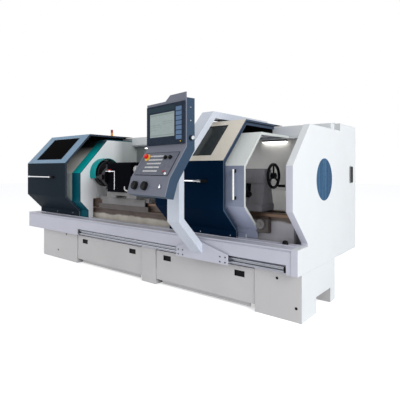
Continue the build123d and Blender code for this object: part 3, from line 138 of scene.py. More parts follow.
def noise(tree, place, scale, detail=4.0, stretch=(1, 1, 1)):
    """Cloudy noise at a scale, stretched along the axes."""
    mapping = tree.nodes.new("ShaderNodeMapping")
    mapping.inputs["Scale"].default_value = stretch
    tree.links.new(place, mapping.inputs["Vector"])
    cloud = tree.nodes.new("ShaderNodeTexNoise")
    cloud.inputs["Scale"].default_value = scale
    cloud.inputs["Detail"].default_value = detail
    tree.links.new(mapping.outputs["Vector"], cloud.inputs["Vector"])
    return cloud.outputs["Fac"]


def ranged(tree, value, low, high, start=0.3, end=0.7):
    """A value spread from one range to another."""
    node = tree.nodes.new("ShaderNodeMapRange")
    node.inputs["From Min"].default_value = start
    node.inputs["From Max"].default_value = end
    node.inputs["To Min"].default_value = low
    node.inputs["To Max"].default_value = high
    tree.links.new(value, node.inputs["Value"])
    return node.outputs["Result"]


def mixed(tree, factor, first, second):
    """A colour between two colours, each a fixed one or another node's."""
    node = tree.nodes.new("ShaderNodeMix")
    node.data_type = "RGBA"
    tree.links.new(factor, node.inputs["Factor"])
    for socket, tone in ((mix_first, first), (mix_second, second)):
        if isinstance(tone, tuple):
            node.inputs[socket].default_value = tone
        else:
            tree.links.new(tone, node.inputs[socket])
    return node.outputs[mix_result]


def combined(tree, operation, first, second):
    """Two values put together by a math node."""
    node = tree.nodes.new("ShaderNodeMath")
    node.operation = operation
    tree.links.new(first, node.inputs[0])
    tree.links.new(second, node.inputs[1])
    return node.outputs["Value"]


def split(tree, place):
    """The X, Y and Z outputs of a place."""
    parts = tree.nodes.new("ShaderNodeSeparateXYZ")
    tree.links.new(place, parts.inputs["Vector"])
    return parts.outputs


def glossed(tree, shader, value, low, high):
    """Uneven gloss on a shader between two roughnesses."""
    tree.links.new(ranged(tree, value, low, high), shader.inputs["Roughness"])


def bumped(tree, shader, height, strength, distance):
    """Bump on a shader from a height."""
    node = tree.nodes.new("ShaderNodeBump")
    node.inputs["Strength"].default_value = strength
    node.inputs["Distance"].default_value = distance
    tree.links.new(height, node.inputs["Height"])
    tree.links.new(node.outputs["Normal"], shader.inputs["Normal"])


def painted(name, base, shade=0.93, rough=0.36, peel=0.05, ior=1.5):
    """Powder paint: faint clouds of tone, uneven gloss and a fine orange-peel surface."""
    material, tree, shader, place = new_material(name, rough)
    shader.inputs["Specular IOR Level"].default_value = specular
    shader.inputs["IOR"].default_value = ior
    cloud = ranged(tree, noise(tree, place, cloud_scale), 0.0, 1.0)
    tree.links.new(mixed(tree, cloud, darker(base, shade, shade, shade), base), shader.inputs["Base Color"])
    glossed(tree, shader, noise(tree, place, gloss_scale), rough - 0.05, rough + 0.07)
    bumped(tree, shader, noise(tree, place, peel_scale, 2.0), peel, peel_depth)
    return material


def metal(name, base, rough=0.28, along=(1, 60, 60), shade=0.8, grain=0.06):
    """Machined metal: fine lines along one direction and a little stain."""
    material, tree, shader, place = new_material(name, rough, 1.0)
    lines = noise(tree, place, line_scale, 6.0, along)
    tone = mixed(tree, ranged(tree, lines, 0.0, 1.0), darker(base, shade, shade, shade), base)
    tree.links.new(tone, shader.inputs["Base Color"])
    glossed(tree, shader, lines, rough - 0.08, rough + 0.12)
    bumped(tree, shader, lines, grain, grain_depth)
    return material


def plastic(name, base, rough=0.45, grain=0.12, ior=1.5):
    """Moulded plastic or rubber with a fine grain."""
    material, tree, shader, place = new_material(name, rough)
    shader.inputs["Specular IOR Level"].default_value = specular
    shader.inputs["IOR"].default_value = ior
    pale = tuple(min(1.0, value * 1.25 + 0.004) for value in base[:3]) + (1.0,)
    cloud = ranged(tree, noise(tree, place, 30.0), 0.0, 1.0)
    tree.links.new(mixed(tree, cloud, base, pale), shader.inputs["Base Color"])
    glossed(tree, shader, noise(tree, place, 60.0), rough - 0.06, rough + 0.06)
    bumped(tree, shader, noise(tree, place, grain_scale, 2.0), grain, grain_depth)
    return material


def cast(name, base, rough=0.5):
    """Painted casting: a pebbled surface with oily, darker patches."""
    material, tree, shader, place = new_material(name, rough)
    patch = ranged(tree, noise(tree, place, patch_scale, 6.0), 0.0, 1.0, 0.35, 0.75)
    tree.links.new(mixed(tree, patch, base, darker(base, 0.7, 0.68, 0.64)), shader.inputs["Base Color"])
    glossed(tree, shader, noise(tree, place, oil_scale), rough - 0.15, rough + 0.1)
    bumped(tree, shader, noise(tree, place, pebble_scale, 3.0), pebble_strength, pebble_depth)
    return material


def glowing(name, base, level):
    """A lit surface with a faint unevenness."""
    material, tree, shader, place = new_material(name, 0.35)
    cloud = ranged(tree, noise(tree, place, 40.0), 0.0, 1.0)
    tone = mixed(tree, cloud, darker(base, 0.92, 0.92, 0.92), base)
    tree.links.new(tone, shader.inputs["Base Color"])
    tree.links.new(tone, shader.inputs["Emission Color"])
    shader.inputs["Emission Strength"].default_value = level
    shader.inputs["IOR"].default_value = 1.1
    return material


paint_pedestal = painted("paint_pedestal", colour(206, 204, 205))
paint_beam = painted("paint_beam", colour(205, 206, 219))
paint_white = painted("paint_white", colour(223, 227, 230), 0.97, 0.4, ior=1.25)
# Painted shade: a greyer copy of the white paint for the rear cabinet's top and front
paint_top_shade = painted("paint_top_shade", colour(196, 198, 200), 0.95, 0.4)
paint_arm = painted("paint_arm", colour(210, 217, 229), 0.97, 0.38)
# Painted light and shade on the white inner guard: lilac for its shaded faces, darker lilac for its front, near
# white for its lit slope and back
shaded_lilac = painted("shaded_lilac", colour(168, 174, 198), 0.95, 0.38)
deep_shade_lilac = painted("deep_shade_lilac", colour(140, 148, 170), 0.95, 0.4)
paint_slant_lit = painted("paint_slant_lit", colour(222, 228, 226), 0.97, 0.36)
paint_housing = painted("paint_housing", colour(212, 224, 222))
paint_teal = painted("paint_teal", colour(0, 84, 100), 0.85, 0.4, ior=1.16)
paint_teal_pale = painted("paint_teal_pale", colour(6, 158, 160), 0.88, 0.4, ior=1.2)
paint_slate = painted("paint_slate", colour(37, 46, 55), 0.9, 0.45, ior=1.06)
# Painted light: a lighter slate for the left guard's end faces, which face the light
paint_edge_lit = painted("paint_edge_lit", colour(60, 70, 84), 0.9, 0.42, ior=1.1)
# Painted reflections: steel blue and cream for the sloping panels of the left and right guards
paint_steel_reflection = painted("paint_steel_reflection", colour(128, 160, 188), 0.92, 0.34, ior=1.25)
paint_cream_reflection = painted("paint_cream_reflection", colour(226, 219, 206), 0.94, 0.34, ior=1.3)
paint_navy = painted("paint_navy", colour(6, 30, 54), 0.8, 0.45, ior=1.06)
paint_frame = painted("paint_frame", colour(62, 78, 100), 0.9, 0.4, ior=1.2)
# Painted shade: near black for the guards' insides and roof undersides and for the tailstock's recess
paint_inside_shade = painted("paint_inside_shade", colour(16, 20, 27), 0.85, 0.5, ior=1.15)
paint_console = painted("paint_console", colour(60, 78, 98), 0.92, 0.45, ior=1.18)
paint_panel = painted("paint_panel", colour(122, 126, 140), 0.95, 0.5, ior=1.25)
paint_black = painted("paint_black", colour(12, 13, 19), 0.8, 0.45, ior=1.05)
paint_dark = painted("paint_dark", colour(70, 72, 76), 0.85, 0.42)
cast_saddle = cast("cast_saddle", colour(132, 130, 132))
cast_tail = cast("cast_tail", colour(152, 150, 158))
cast_apron = cast("cast_apron", colour(86, 77, 76))
steel_way = metal("steel_way", colour(112, 92, 80), 0.36, (1, 80, 80))
steel_bright = metal("steel_bright", colour(190, 192, 198), 0.26, (1, 80, 80))
steel_rail = metal("steel_rail", colour(158, 160, 168), 0.3, (1, 80, 80))
steel_turned = metal("steel_turned", colour(176, 178, 182), 0.26, (80, 1, 1))
steel_dark = metal("steel_dark", colour(46, 46, 50), 0.4, (40, 40, 1))
chrome = metal("chrome", colour(226, 228, 232), 0.12, (1, 20, 20), 0.95, 0.01)
rubber_black = plastic("rubber_black", colour(22, 22, 23), 0.6, ior=1.15)
plastic_black = plastic("plastic_black", colour(15, 15, 18), 0.45, ior=1.2)
plastic_red = plastic("plastic_red", colour(205, 22, 18), 0.3, 0.03)
plastic_yellow = plastic("plastic_yellow", colour(236, 196, 40), 0.34, 0.04)
plastic_white = plastic("plastic_white", colour(232, 232, 230), 0.35, 0.04)
plastic_keys = plastic("plastic_keys", colour(192, 193, 196), 0.4, 0.05)
plastic_pad = plastic("plastic_pad", colour(104, 108, 120), 0.5, 0.1, ior=1.2)
plastic_bezel = plastic("plastic_bezel", colour(42, 51, 66), 0.4, 0.05, ior=1.08)
lens_red = plastic("lens_red", colour(150, 14, 10), 0.15, 0.02)
lens_amber = plastic("lens_amber", colour(226, 150, 20), 0.15, 0.02)
glass_black = painted("glass_black", colour(9, 9, 11), 0.8, 0.15, 0.004, ior=1.02)
glass_smoked = painted("glass_smoked", colour(56, 62, 64), 0.85, 0.12, 0.004, ior=1.25)
lamp_glow = glowing("lamp_glow", colour(255, 252, 246), 4.5)
display_pale = glowing("display_pale", colour(164, 177, 176), 0.12)
display_line = glowing("display_line", colour(140, 154, 150), 0.2)
display_blue = glowing("display_blue", colour(100, 126, 160), 0.12)
display_top = glowing("display_top", colour(44, 62, 74), 0.05)
led_amber = glowing("led_amber", colour(240, 190, 40), 0.8)


def banded_bed():
    """The bed's casting: beige paint, greyer at the right, below an oily brown band under the ways."""
    material, tree, shader, place = new_material("cast_bed", 0.5)
    parts = split(tree, place)
    wavy = ranged(tree, noise(tree, place, 5.0), -0.012, 0.012)
    oily = ranged(tree, parts["X"], 0.11, 0.0, 0.4, 1.0)
    height = combined(tree, "ADD", parts["Z"], combined(tree, "ADD", wavy, oily))
    band = ranged(tree, height, 0.0, 1.0, 0.8, 0.82)
    patch = ranged(tree, noise(tree, place, patch_scale, 6.0), 0.0, 1.0, 0.35, 0.75)
    beige = mixed(tree, patch, colour(216, 209, 198), colour(188, 181, 170))
    grey = mixed(tree, patch, colour(190, 188, 194), colour(172, 170, 176))
    paint = mixed(tree, ranged(tree, parts["X"], 0.0, 1.0, 0.9, 1.2), beige, grey)
    stain = mixed(tree, patch, colour(92, 76, 66), colour(70, 56, 50))
    tree.links.new(mixed(tree, band, paint, stain), shader.inputs["Base Color"])
    glossed(tree, shader, noise(tree, place, oil_scale), 0.36, 0.6)
    bumped(tree, shader, noise(tree, place, pebble_scale, 3.0), pebble_strength, pebble_depth)
    return material


def streaked_glass():
    """Blue window plastic with soft upright streaks."""
    material, tree, shader, place = new_material("glass_blue", 0.3)
    shader.inputs["IOR"].default_value = 1.12
    streak = ranged(tree, noise(tree, place, 9.0, 3.0, (1, 3.4, 0.12)), 0.0, 1.0, 0.38, 0.64)
    tone = mixed(tree, streak, colour(26, 69, 105), colour(50, 95, 130))
    tree.links.new(tone, shader.inputs["Base Color"])
    glossed(tree, shader, noise(tree, place, 20.0), 0.24, 0.36)
    bumped(tree, shader, noise(tree, place, 60.0, 2.0), 0.02, grain_depth)
    return material


def shaded_wall():
    """White sheet steel behind the work space, with painted shade that makes it greyer towards the chuck."""
    material, tree, shader, place = new_material("paint_wall", 0.45)
    # Painted shade: the wall goes from white to grey towards the chuck
    painted_shade = ranged(tree, split(tree, place)["X"], 0.0, 1.0, -0.5, 0.3)
    cloud = ranged(tree, noise(tree, place, cloud_scale), 0.0, 1.0)
    grey = mixed(tree, cloud, colour(122, 128, 130), colour(136, 141, 142))
    white = mixed(tree, cloud, colour(232, 231, 228), colour(240, 239, 236))
    tree.links.new(mixed(tree, painted_shade, grey, white), shader.inputs["Base Color"])
    glossed(tree, shader, noise(tree, place, gloss_scale), 0.4, 0.52)
    bumped(tree, shader, noise(tree, place, peel_scale, 2.0), 0.05, peel_depth)
    return material


def fading(name, near, distant, axis, start, end, rough=0.4, ior=1.5):
    """Paint that goes from one colour to another between two places along an axis."""
    material, tree, shader, place = new_material(name, rough)
    shader.inputs["IOR"].default_value = ior
    share = ranged(tree, split(tree, place)[axis], 0.0, 1.0, start, end)
    tree.links.new(mixed(tree, share, near, distant), shader.inputs["Base Color"])
    glossed(tree, shader, noise(tree, place, gloss_scale), rough - 0.05, rough + 0.08)
    bumped(tree, shader, noise(tree, place, peel_scale, 2.0), 0.05, peel_depth)
    return material


# Painted shade: the spindle wall goes from white to grey towards the back
paint_spindle_shade = fading("paint_spindle_shade", colour(240, 243, 246), colour(170, 176, 177), "Y", 0.1, 0.28)
# Painted shadow: the housing's slope darkens to near black towards the top, under the guard's roof
housing_slope_shadow = fading("housing_slope_shadow", colour(208, 210, 204), colour(22, 24, 27), "Z", 1.44, 1.62, 0.42, 1.2)
# Painted light and shadow: the band's slope is paler than its front for the light on it, and darkens towards the
# top for the shadow under the guard's roof
band_slope_lit_and_shadowed = fading("band_slope_lit_and_shadowed", colour(6, 158, 160), colour(0, 40, 48), "Z", 1.5, 1.68, 0.42, 1.2)
paint_wall = shaded_wall()
cast_bed = banded_bed()
glass_blue = streaked_glass()

finish = {
    "pedestals": paint_pedestal, "front_beam": paint_beam, "console_rail": steel_rail,
    "bed": cast_bed, "bed_ways": steel_way, "rear_wall": paint_wall, "rear_cabinet": paint_white,
    "headstock_housing": paint_housing, "headstock_band": paint_teal, "spindle_wall": paint_spindle_shade,
    "end_cover": paint_white, "end_window": glass_blue, "lamps": paint_panel, "signal_light": rubber_black,
    "headstock_casting": cast_saddle, "spindle_bearings": steel_turned, "drive_motor": paint_dark,
    "drive_belt": rubber_black, "spindle": steel_turned, "chuck_body": steel_dark,
    "jaw_1": steel_dark, "jaw_2": steel_dark, "jaw_3": steel_dark, "motor_pulley": steel_turned,
    "chuck_guard": paint_teal_pale, "saddle": cast_saddle, "cross_slide": cast_saddle,
    "turret_housing": paint_black, "coolant_pipe": chrome, "valve_lever": plastic_red,
    "tool_disc": steel_dark, "tailstock_body": cast_tail, "quill": steel_turned,
    "handwheel": plastic_black, "clamp_lever": plastic_black,
    "left_door": paint_slate, "left_door_window": glass_black, "left_door_handle": chrome,
    "right_door": paint_navy, "right_door_window": glass_smoked, "right_door_handle": chrome,
    "inner_door": shaded_lilac, "inner_door_pull": plastic_white,
    "desk_carrier": paint_beam, "desk_arm": paint_arm,
    "console_housing": paint_console, "console_panel": paint_panel, "screen": plastic_bezel,
    "emergency_stop": plastic_red, "feed_knob": plastic_black, "speed_knob": plastic_black,
    "x_dial": plastic_black, "z_dial": plastic_black, "lock_switch": chrome,
    "left_wagon": paint_pedestal, "right_wagon": paint_pedestal,
    "left_wheels_front": rubber_black, "left_wheels_rear": rubber_black,
    "right_wheels_front": rubber_black, "right_wheels_rear": rubber_black,
}


def placed(name, data):
    """A new object in the scene."""
    thing = bpy.data.objects.new(name, data)
    bpy.context.scene.collection.objects.link(thing)
    return thing


def smoothed(mesh):
    """Smooth shading that stays sharp at corners."""
    for polygon in mesh.polygons:
        polygon.use_smooth = True
    mesh.set_sharp_from_angle(angle=sharp_angle)


def dress(node):
    """A copy of a node with welded, slightly rounded edges, which stands for it."""
    mesh = nodes[node].data.copy()
    mesh.materials.clear()
    mesh.materials.append(finish[node])
    work = bmesh.new()
    work.from_mesh(mesh)
    bmesh.ops.remove_doubles(work, verts=work.verts, dist=weld_gap)
    bmesh.ops.dissolve_limit(work, angle_limit=flat_angle, verts=work.verts, edges=work.edges)
    work.to_mesh(mesh)
    work.free()
    for polygon in mesh.polygons:
        polygon.material_index = 0
    smoothed(mesh)
    piece = placed(f"{node}_dressed", mesh)
    rounding = piece.modifiers.new("rounding", "BEVEL")
    rounding.width = edge_round
    rounding.segments = 2
    rounding.limit_method = "ANGLE"
    rounding.angle_limit = sharp_angle
    rounding.harden_normals = True
    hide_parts(node)
    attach(piece, body_of[node])
    return piece


def paint_faces(piece, material, test, largest=1000.0):
    """Give another material to the faces up to a size whose middle passes a test."""
    piece.data.materials.append(material)
    index = len(piece.data.materials) - 1
    for polygon in piece.data.polygons:
        if polygon.area <= largest and test(polygon.center, polygon.normal):
            polygon.material_index = index


def facing(y_low, y_high, z_low, z_high):
    """A test for faces whose normal lies within ranges along Y and Z."""
    return lambda middle, normal: y_low <= normal.y <= y_high and z_low <= normal.z <= z_high


def within(x=everywhere, y=everywhere, z=everywhere):
    """A test for faces whose middle lies within ranges along the axes."""
    ranges = (x, y, z)
    return lambda middle, normal: all(low < value < high for value, (low, high) in zip(middle, ranges))


def both(first, second):
    """A test for faces that pass two tests."""
    return lambda middle, normal: first(middle, normal) and second(middle, normal)


dressed = {node: dress(node) for node in finish}

# Guards: painted light, shade and reflection on the folded panels, and painted shade on the inside
slope_faces = facing(-0.9, -0.4, 0.4, 0.9)
front_faces = facing(-1.0, -0.95, -0.2, 0.2)
top_faces = facing(-0.3, 0.3, 0.9, 1.0)
back_faces = facing(0.3, 1.0, -1.0, 1.0)
end_faces = facing(-0.3, 0.3, -0.3, 0.3)
under_roof_faces = both(facing(-1.0, 1.0, -1.0, -0.3), within(z=(1.0, far)))
for name, slope_paint, end_paint in (
    ("left_door", paint_steel_reflection, paint_edge_lit),
    ("right_door", paint_cream_reflection, paint_frame),
    ("inner_door", paint_slant_lit, paint_slant_lit),
):
    guard = dressed[name]
    # Painted reflection on the left and right guards' slopes, painted light on the inner guard's slope
    paint_faces(guard, slope_paint, slope_faces)
    # Painted light and shade: the inner guard's back is lit near white, its front a darker shaded lilac
    if name == "inner_door":
        paint_faces(guard, paint_slant_lit, back_faces)
        paint_faces(guard, deep_shade_lilac, front_faces)
    else:
        # Painted shade: the guards' insides and the undersides of their roofs are near black
        paint_faces(guard, paint_inside_shade, back_faces)
        paint_faces(guard, paint_inside_shade, under_roof_faces)
    # Painted light on the end faces of the left guard and of the inner guard
    paint_faces(guard, end_paint, end_faces)
# Painted light and shadow on the band's slope
paint_faces(dressed["headstock_band"], band_slope_lit_and_shadowed, slope_faces)
# Painted shadow on the housing's slope, darker towards the top
paint_faces(dressed["headstock_housing"], housing_slope_shadow, slope_faces)
# Painted light: the pedestals' right end faces take the whiter paint, for the key light on that side
paint_faces(dressed["pedestals"], paint_white, lambda middle, normal: normal.x > 0.9 and middle.x > 1.5)

# Grips: black linings in the recesses of the wagons and of the rear cabinet
wagon_grip_z = (0.286, 0.346)
for name in ("left_wagon", "right_wagon"):
    panel_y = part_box(name)[0].y
    lining = within(y=(panel_y + 0.001, panel_y + 0.0125), z=wagon_grip_z)
    paint_faces(dressed[name], plastic_black, lining)
cabinet = dressed["rear_cabinet"]
cabinet_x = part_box("rear_cabinet")[1].x
# Painted shade: the rear cabinet's top faces and its large front face take a greyer paint than the rest
paint_faces(cabinet, paint_top_shade, top_faces)
low_front = within(y=(0.5, 0.6), z=(-far, 1.0))
paint_faces(cabinet, paint_top_shade, lambda middle, normal: normal.y < -0.9 and low_front(middle, normal))
lining = within((cabinet_x - 0.08, cabinet_x - 0.0005), (0.84, 0.99), (1.1, 1.36))
paint_faces(cabinet, plastic_black, lining, 0.05)
# Painted shade: the end cover's front-facing faces take the beam's bluer paint, for the shade on that side
paint_faces(dressed["end_cover"], paint_beam, facing(-1.0, -0.3, -1.0, 0.3))

# Pull of the inner guard: black blocks behind a pale bar
pull_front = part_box("inner_door_pull")[0].y
paint_faces(dressed["inner_door_pull"], plastic_black, within(y=(pull_front + 0.0185, far)))


def added(name, work, material, body, place=Matrix.Identity(4)):
    """Turn a bmesh into a piece that rides on a body."""
    mesh = bpy.data.meshes.new(name)
    work.transform(place)
    work.to_mesh(mesh)
    work.free()
    mesh.materials.append(material)
    smoothed(mesh)
    piece = placed(name, mesh)
    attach(piece, body)
    return piece


def add_slab(work, low, high, rounding=0.0008, place=Matrix.Identity(4)):
    """A box with eased edges between two corners, set in a place."""
    low, high = Vector(low), Vector(high)
    size = high - low
    box = bmesh.new()
    bmesh.ops.create_cube(box, size=1.0)
    fitted = Matrix.Translation((low + high) / 2) @ Matrix.Diagonal((*size, 1.0))
    bmesh.ops.transform(box, verts=box.verts, matrix=fitted)
    bmesh.ops.bevel(box, geom=box.edges[:], offset=min(rounding, min(size) / 3), segments=2, affect="EDGES")
    box.transform(place)
    spare = bpy.data.meshes.new("spare")
    box.to_mesh(spare)
    box.free()
    work.from_mesh(spare)
    bpy.data.meshes.remove(spare)


def add_frame(work, wide, tall, width, height, place):
    """A flat frame round a rectangle, standing on a surface."""
    across, up = wide / 2, tall / 2
    for low, high in (
        ((-across - width, -up - width, 0), (across + width, -up, height)),
        ((-across - width, up, 0), (across + width, up + width, height)),
        ((-across - width, -up, 0), (-across, up, height)),
        ((across, -up, 0), (across + width, up, height)),
    ):
        add_slab(work, low, high, height / 3, place)


def ring(radius, height, sides):
    """Points round a circle at a height."""
    angles = [2 * pi * index / sides for index in range(sides)]
    return [Vector((radius * cos(angle), radius * sin(angle), height)) for angle in angles]


def skin(work, loops, closed=True):
    """Faces over a row of loops, with the last loop filled, and the first one too where it is closed."""
    sides = len(loops[0])
    for lower, upper in zip(loops, loops[1:]):
        for index in range(sides):
            after = (index + 1) % sides
            work.faces.new((lower[index], lower[after], upper[after], upper[index]))
    work.faces.new(loops[-1])
    if closed:
        work.faces.new(loops[0][::-1])


def add_turned(work, profile, place, sides=32):
    """A turned form from radius and height pairs, standing on a surface."""
    loops = []
    for radius, height in profile:
        loops.append([work.verts.new(place @ point) for point in ring(radius, height, sides)])
    skin(work, loops)


def add_tube(work, points, radius, sides=14):
    """A tube along points."""
    points = [Vector(point) for point in points]
    loops = []
    side = Vector(along_z)
    for index, point in enumerate(points):
        run = (points[min(index + 1, len(points) - 1)] - points[max(index - 1, 0)]).normalized()
        side = (side - run * side.dot(run)).normalized()
        other = run.cross(side)
        turns = ring(1.0, 0.0, sides)
        loops.append([work.verts.new(point + (side * turn.x + other * turn.y) * radius) for turn in turns])
    skin(work, loops)


def surface(origin, along, out):
    """A place on a surface: X along it and Z out of it."""
    x_axis, z_axis = Vector(along).normalized(), Vector(out).normalized()
    y_axis = z_axis.cross(x_axis)
    return Matrix.Translation(origin) @ Matrix((x_axis, y_axis, z_axis)).transposed().to_4x4()


def add_screw(work, place, out, radius=screw_radius, height=screw_height):
    """A round screw head with a round socket, standing on a surface."""
    turn = Vector(along_z).rotation_difference(Vector(out)).to_matrix().to_4x4()
    loops = []
    for radius_share, height_share in ((1.0, 0.0), (1.0, 0.6), (0.85, 1.0), (0.5, 1.0), (0.42, 0.3)):
        points = ring(radius * radius_share, height * height_share, screw_sides)
        loops.append([work.verts.new(Vector(place) + turn @ point) for point in points])
    skin(work, loops, closed=False)


# Display, its lines and the soft keys on the console
left = console_left + screen_side
wide = console_width - 2 * screen_side
bezel_y = face_y - screen_front
glass_y = bezel_y + screen_recess
display = bmesh.new()
low = (left + wide * display_shares[0], glass_y - 0.0008, screen_low + screen_tall * display_height_shares[0])
high = (left + wide * display_shares[1], glass_y, screen_low + screen_tall * display_height_shares[1])
add_slab(display, low, high, 0.0003)
added("display", display, display_pale, "console", desk)

marks = bmesh.new()
span_x, span_z = high[0] - low[0], high[2] - low[2]
for share_x, share_z, share_w, share_h in (
    (0.03, 0.9, 0.94, 0.06), (0.03, 0.5, 0.4, 0.03), (0.03, 0.42, 0.5, 0.02), (0.03, 0.3, 0.3, 0.02),
    (0.55, 0.62, 0.4, 0.02), (0.55, 0.54, 0.36, 0.02), (0.03, 0.06, 0.94, 0.04),
):
    start = (low[0] + span_x * share_x, glass_y - 0.0011, low[2] + span_z * share_z)
    end = (start[0] + span_x * share_w, glass_y - 0.0007, start[2] + span_z * share_h)
    add_slab(marks, start, end, 0.0001)
added("display_marks", marks, display_line, "console", desk)

keys = bmesh.new()
key_pitch = screen_tall * 0.8 / key_count
for index in range(key_count):
    start_z = screen_low + screen_tall * 0.1 + index * key_pitch
    key_low = (left + wide * key_shares[0], bezel_y - 0.0012, start_z + key_pitch * 0.08)
    key_high = (left + wide * key_shares[1], bezel_y + 0.001, start_z + key_pitch * 0.92)
    add_slab(keys, key_low, key_high, 0.001)
added("soft_keys", keys, display_blue, "console", desk)

# Console panels: colours of the plates, keys and collar, then buttons, side knob and screws
key_depth, key_rise = 0.174, 0.262
low_depth, low_rise = 0.045, 0.146
key_out = Vector((0, -key_rise, key_depth)).normalized()
low_out = Vector((0, -low_rise, low_depth)).normalized()
key_up = Vector((0, key_depth, key_rise)).normalized()
low_up = Vector((0, low_depth, low_rise)).normalized()
key_origin = Vector((console_left, -0.274, 1.226))
low_origin = Vector((console_left, -0.319, 1.08))
key_length = 0.31452
stop_shares = (0.18, 0.66)
stop_reach = 0.036
plate_heights = (0.001, 0.0045)
key_heights = (0.0046, 0.0075)
collar_heights = (0.0045, 0.02)
largest_plate, largest_low_plate, largest_key = 0.2, 0.008, 0.0006
to_desk = desk.inverted()


def on_panel(point, origin, out, up):
    """Place across, place along and height of a point over a console panel."""
    offset = to_desk @ point - origin
    return offset.x, offset.dot(up), offset.dot(out)


def on_keys(point):
    """Place across, place along and height of a point over the sloping key panel."""
    return on_panel(point, key_origin, key_out, key_up)


def plate_face(middle, normal):
    """A test for faces of the plate under the keys."""
    along, height = on_keys(middle)[1:]
    return plate_heights[0] < height < plate_heights[1] and along > 0


def low_plate_face(middle, normal):
    """A test for faces of the plates on the low panel."""
    return plate_heights[0] < on_panel(middle, low_origin, low_out, low_up)[2] < plate_heights[1]


def key_face(middle, normal):
    """A test for faces of the keys."""
    return key_heights[0] < on_keys(middle)[2] < key_heights[1]


def collar_face(middle, normal):
    """A test for faces of the collar round the emergency stop."""
    across, along, height = on_keys(middle)
    reach = hypot(across - console_width * stop_shares[0], along - key_length * stop_shares[1])
    return reach < stop_reach and collar_heights[0] < height < collar_heights[1]


panel = dressed["console_panel"]
paint_faces(panel, plastic_pad, plate_face, largest_plate)
paint_faces(panel, plastic_keys, key_face, largest_key)
paint_faces(panel, plastic_yellow, collar_face)
paint_faces(panel, plastic_pad, low_plate_face, largest_low_plate)

pad_spots = []
for polygon in panel.data.polygons:
    if plate_face(polygon.center, polygon.normal) and polygon.area < largest_plate:
        pad_spots += [on_keys(panel.data.vertices[index].co) for index in polygon.vertices]
pad_low = [min(spot[axis] for spot in pad_spots) for axis in range(2)]
pad_high = [max(spot[axis] for spot in pad_spots) for axis in range(2)]
pad_wide, pad_tall = pad_high[0] - pad_low[0], pad_high[1] - pad_low[1]
pad_across, pad_along = (pad_low[0] + pad_high[0]) / 2, (pad_low[1] + pad_high[1]) / 2
pad_middle = key_origin + Vector((pad_across, 0, 0)) + key_up * pad_along
outline = bmesh.new()
add_frame(outline, pad_wide, pad_tall, 0.004, 0.0045, desk @ surface(pad_middle, along_x, key_out))
added("keypad_outline", outline, rubber_black, "console")

desk_turn = desk.to_3x3()
side_out = desk_turn @ Vector(along_x)
buttons, lights = bmesh.new(), bmesh.new()
button_rings = ((0.011, 0.0), (0.011, 0.006), (0.009, 0.009))
for work, share_x, share_y in ((buttons, 0.8, 0.2), (lights, 0.86, 0.13)):
    across = Vector((console_width * share_x, 0, 0))
    spot = key_origin + across + key_up * (key_length * share_y) + key_out * 0.004
    add_turned(work, button_rings, surface(desk @ spot, side_out, desk_turn @ key_out), 20)
added("cycle_button", buttons, lens_red, "console")
added("cycle_light", lights, plastic_white, "console")

knob_z = 1.56
side_at = desk @ Vector((console_left + console_width, -0.05, 0))
knob_base, knob_head, side_screws = bmesh.new(), bmesh.new(), bmesh.new()
knob_at = surface(side_at + Vector((0, 0, knob_z)), along_z, side_out)
base_rings = ((0.021, 0.0), (0.021, 0.008), (0.016, 0.012))
head_rings = ((0.009, 0.008), (0.009, 0.016), (0.0165, 0.018), (0.0165, 0.032), (0.012, 0.036))
add_turned(knob_base, base_rings, knob_at, 24)
add_turned(knob_head, head_rings, knob_at, 24)
for z in (1.816, 1.705):
    add_screw(side_screws, side_at + Vector((0, 0, z)), side_out, 0.006)
added("lock_knob_base", knob_base, plastic_black, "console")
added("lock_knob", knob_head, chrome, "console")
added("console_screws", side_screws, steel_bright, "console")

bar = bmesh.new()
start = (left + wide * 0.03, glass_y - screen_recess - 0.0006, screen_low + screen_tall * 0.84)
end = (start[0] + wide * 0.72, start[1] + 0.0012, start[2] + screen_tall * 0.11)
add_slab(bar, start, end, 0.0003)
added("display_bars", bar, display_top, "console", desk)
led = bmesh.new()
led_at = (left + wide * 0.9, bezel_y, screen_low + screen_tall * 0.06)
led_rings = ((0.004, 0.0), (0.004, 0.0012), (0.003, 0.002))
add_turned(led, led_rings, desk @ surface(led_at, along_x, to_front), 14)
added("screen_light", led, led_amber, "console")

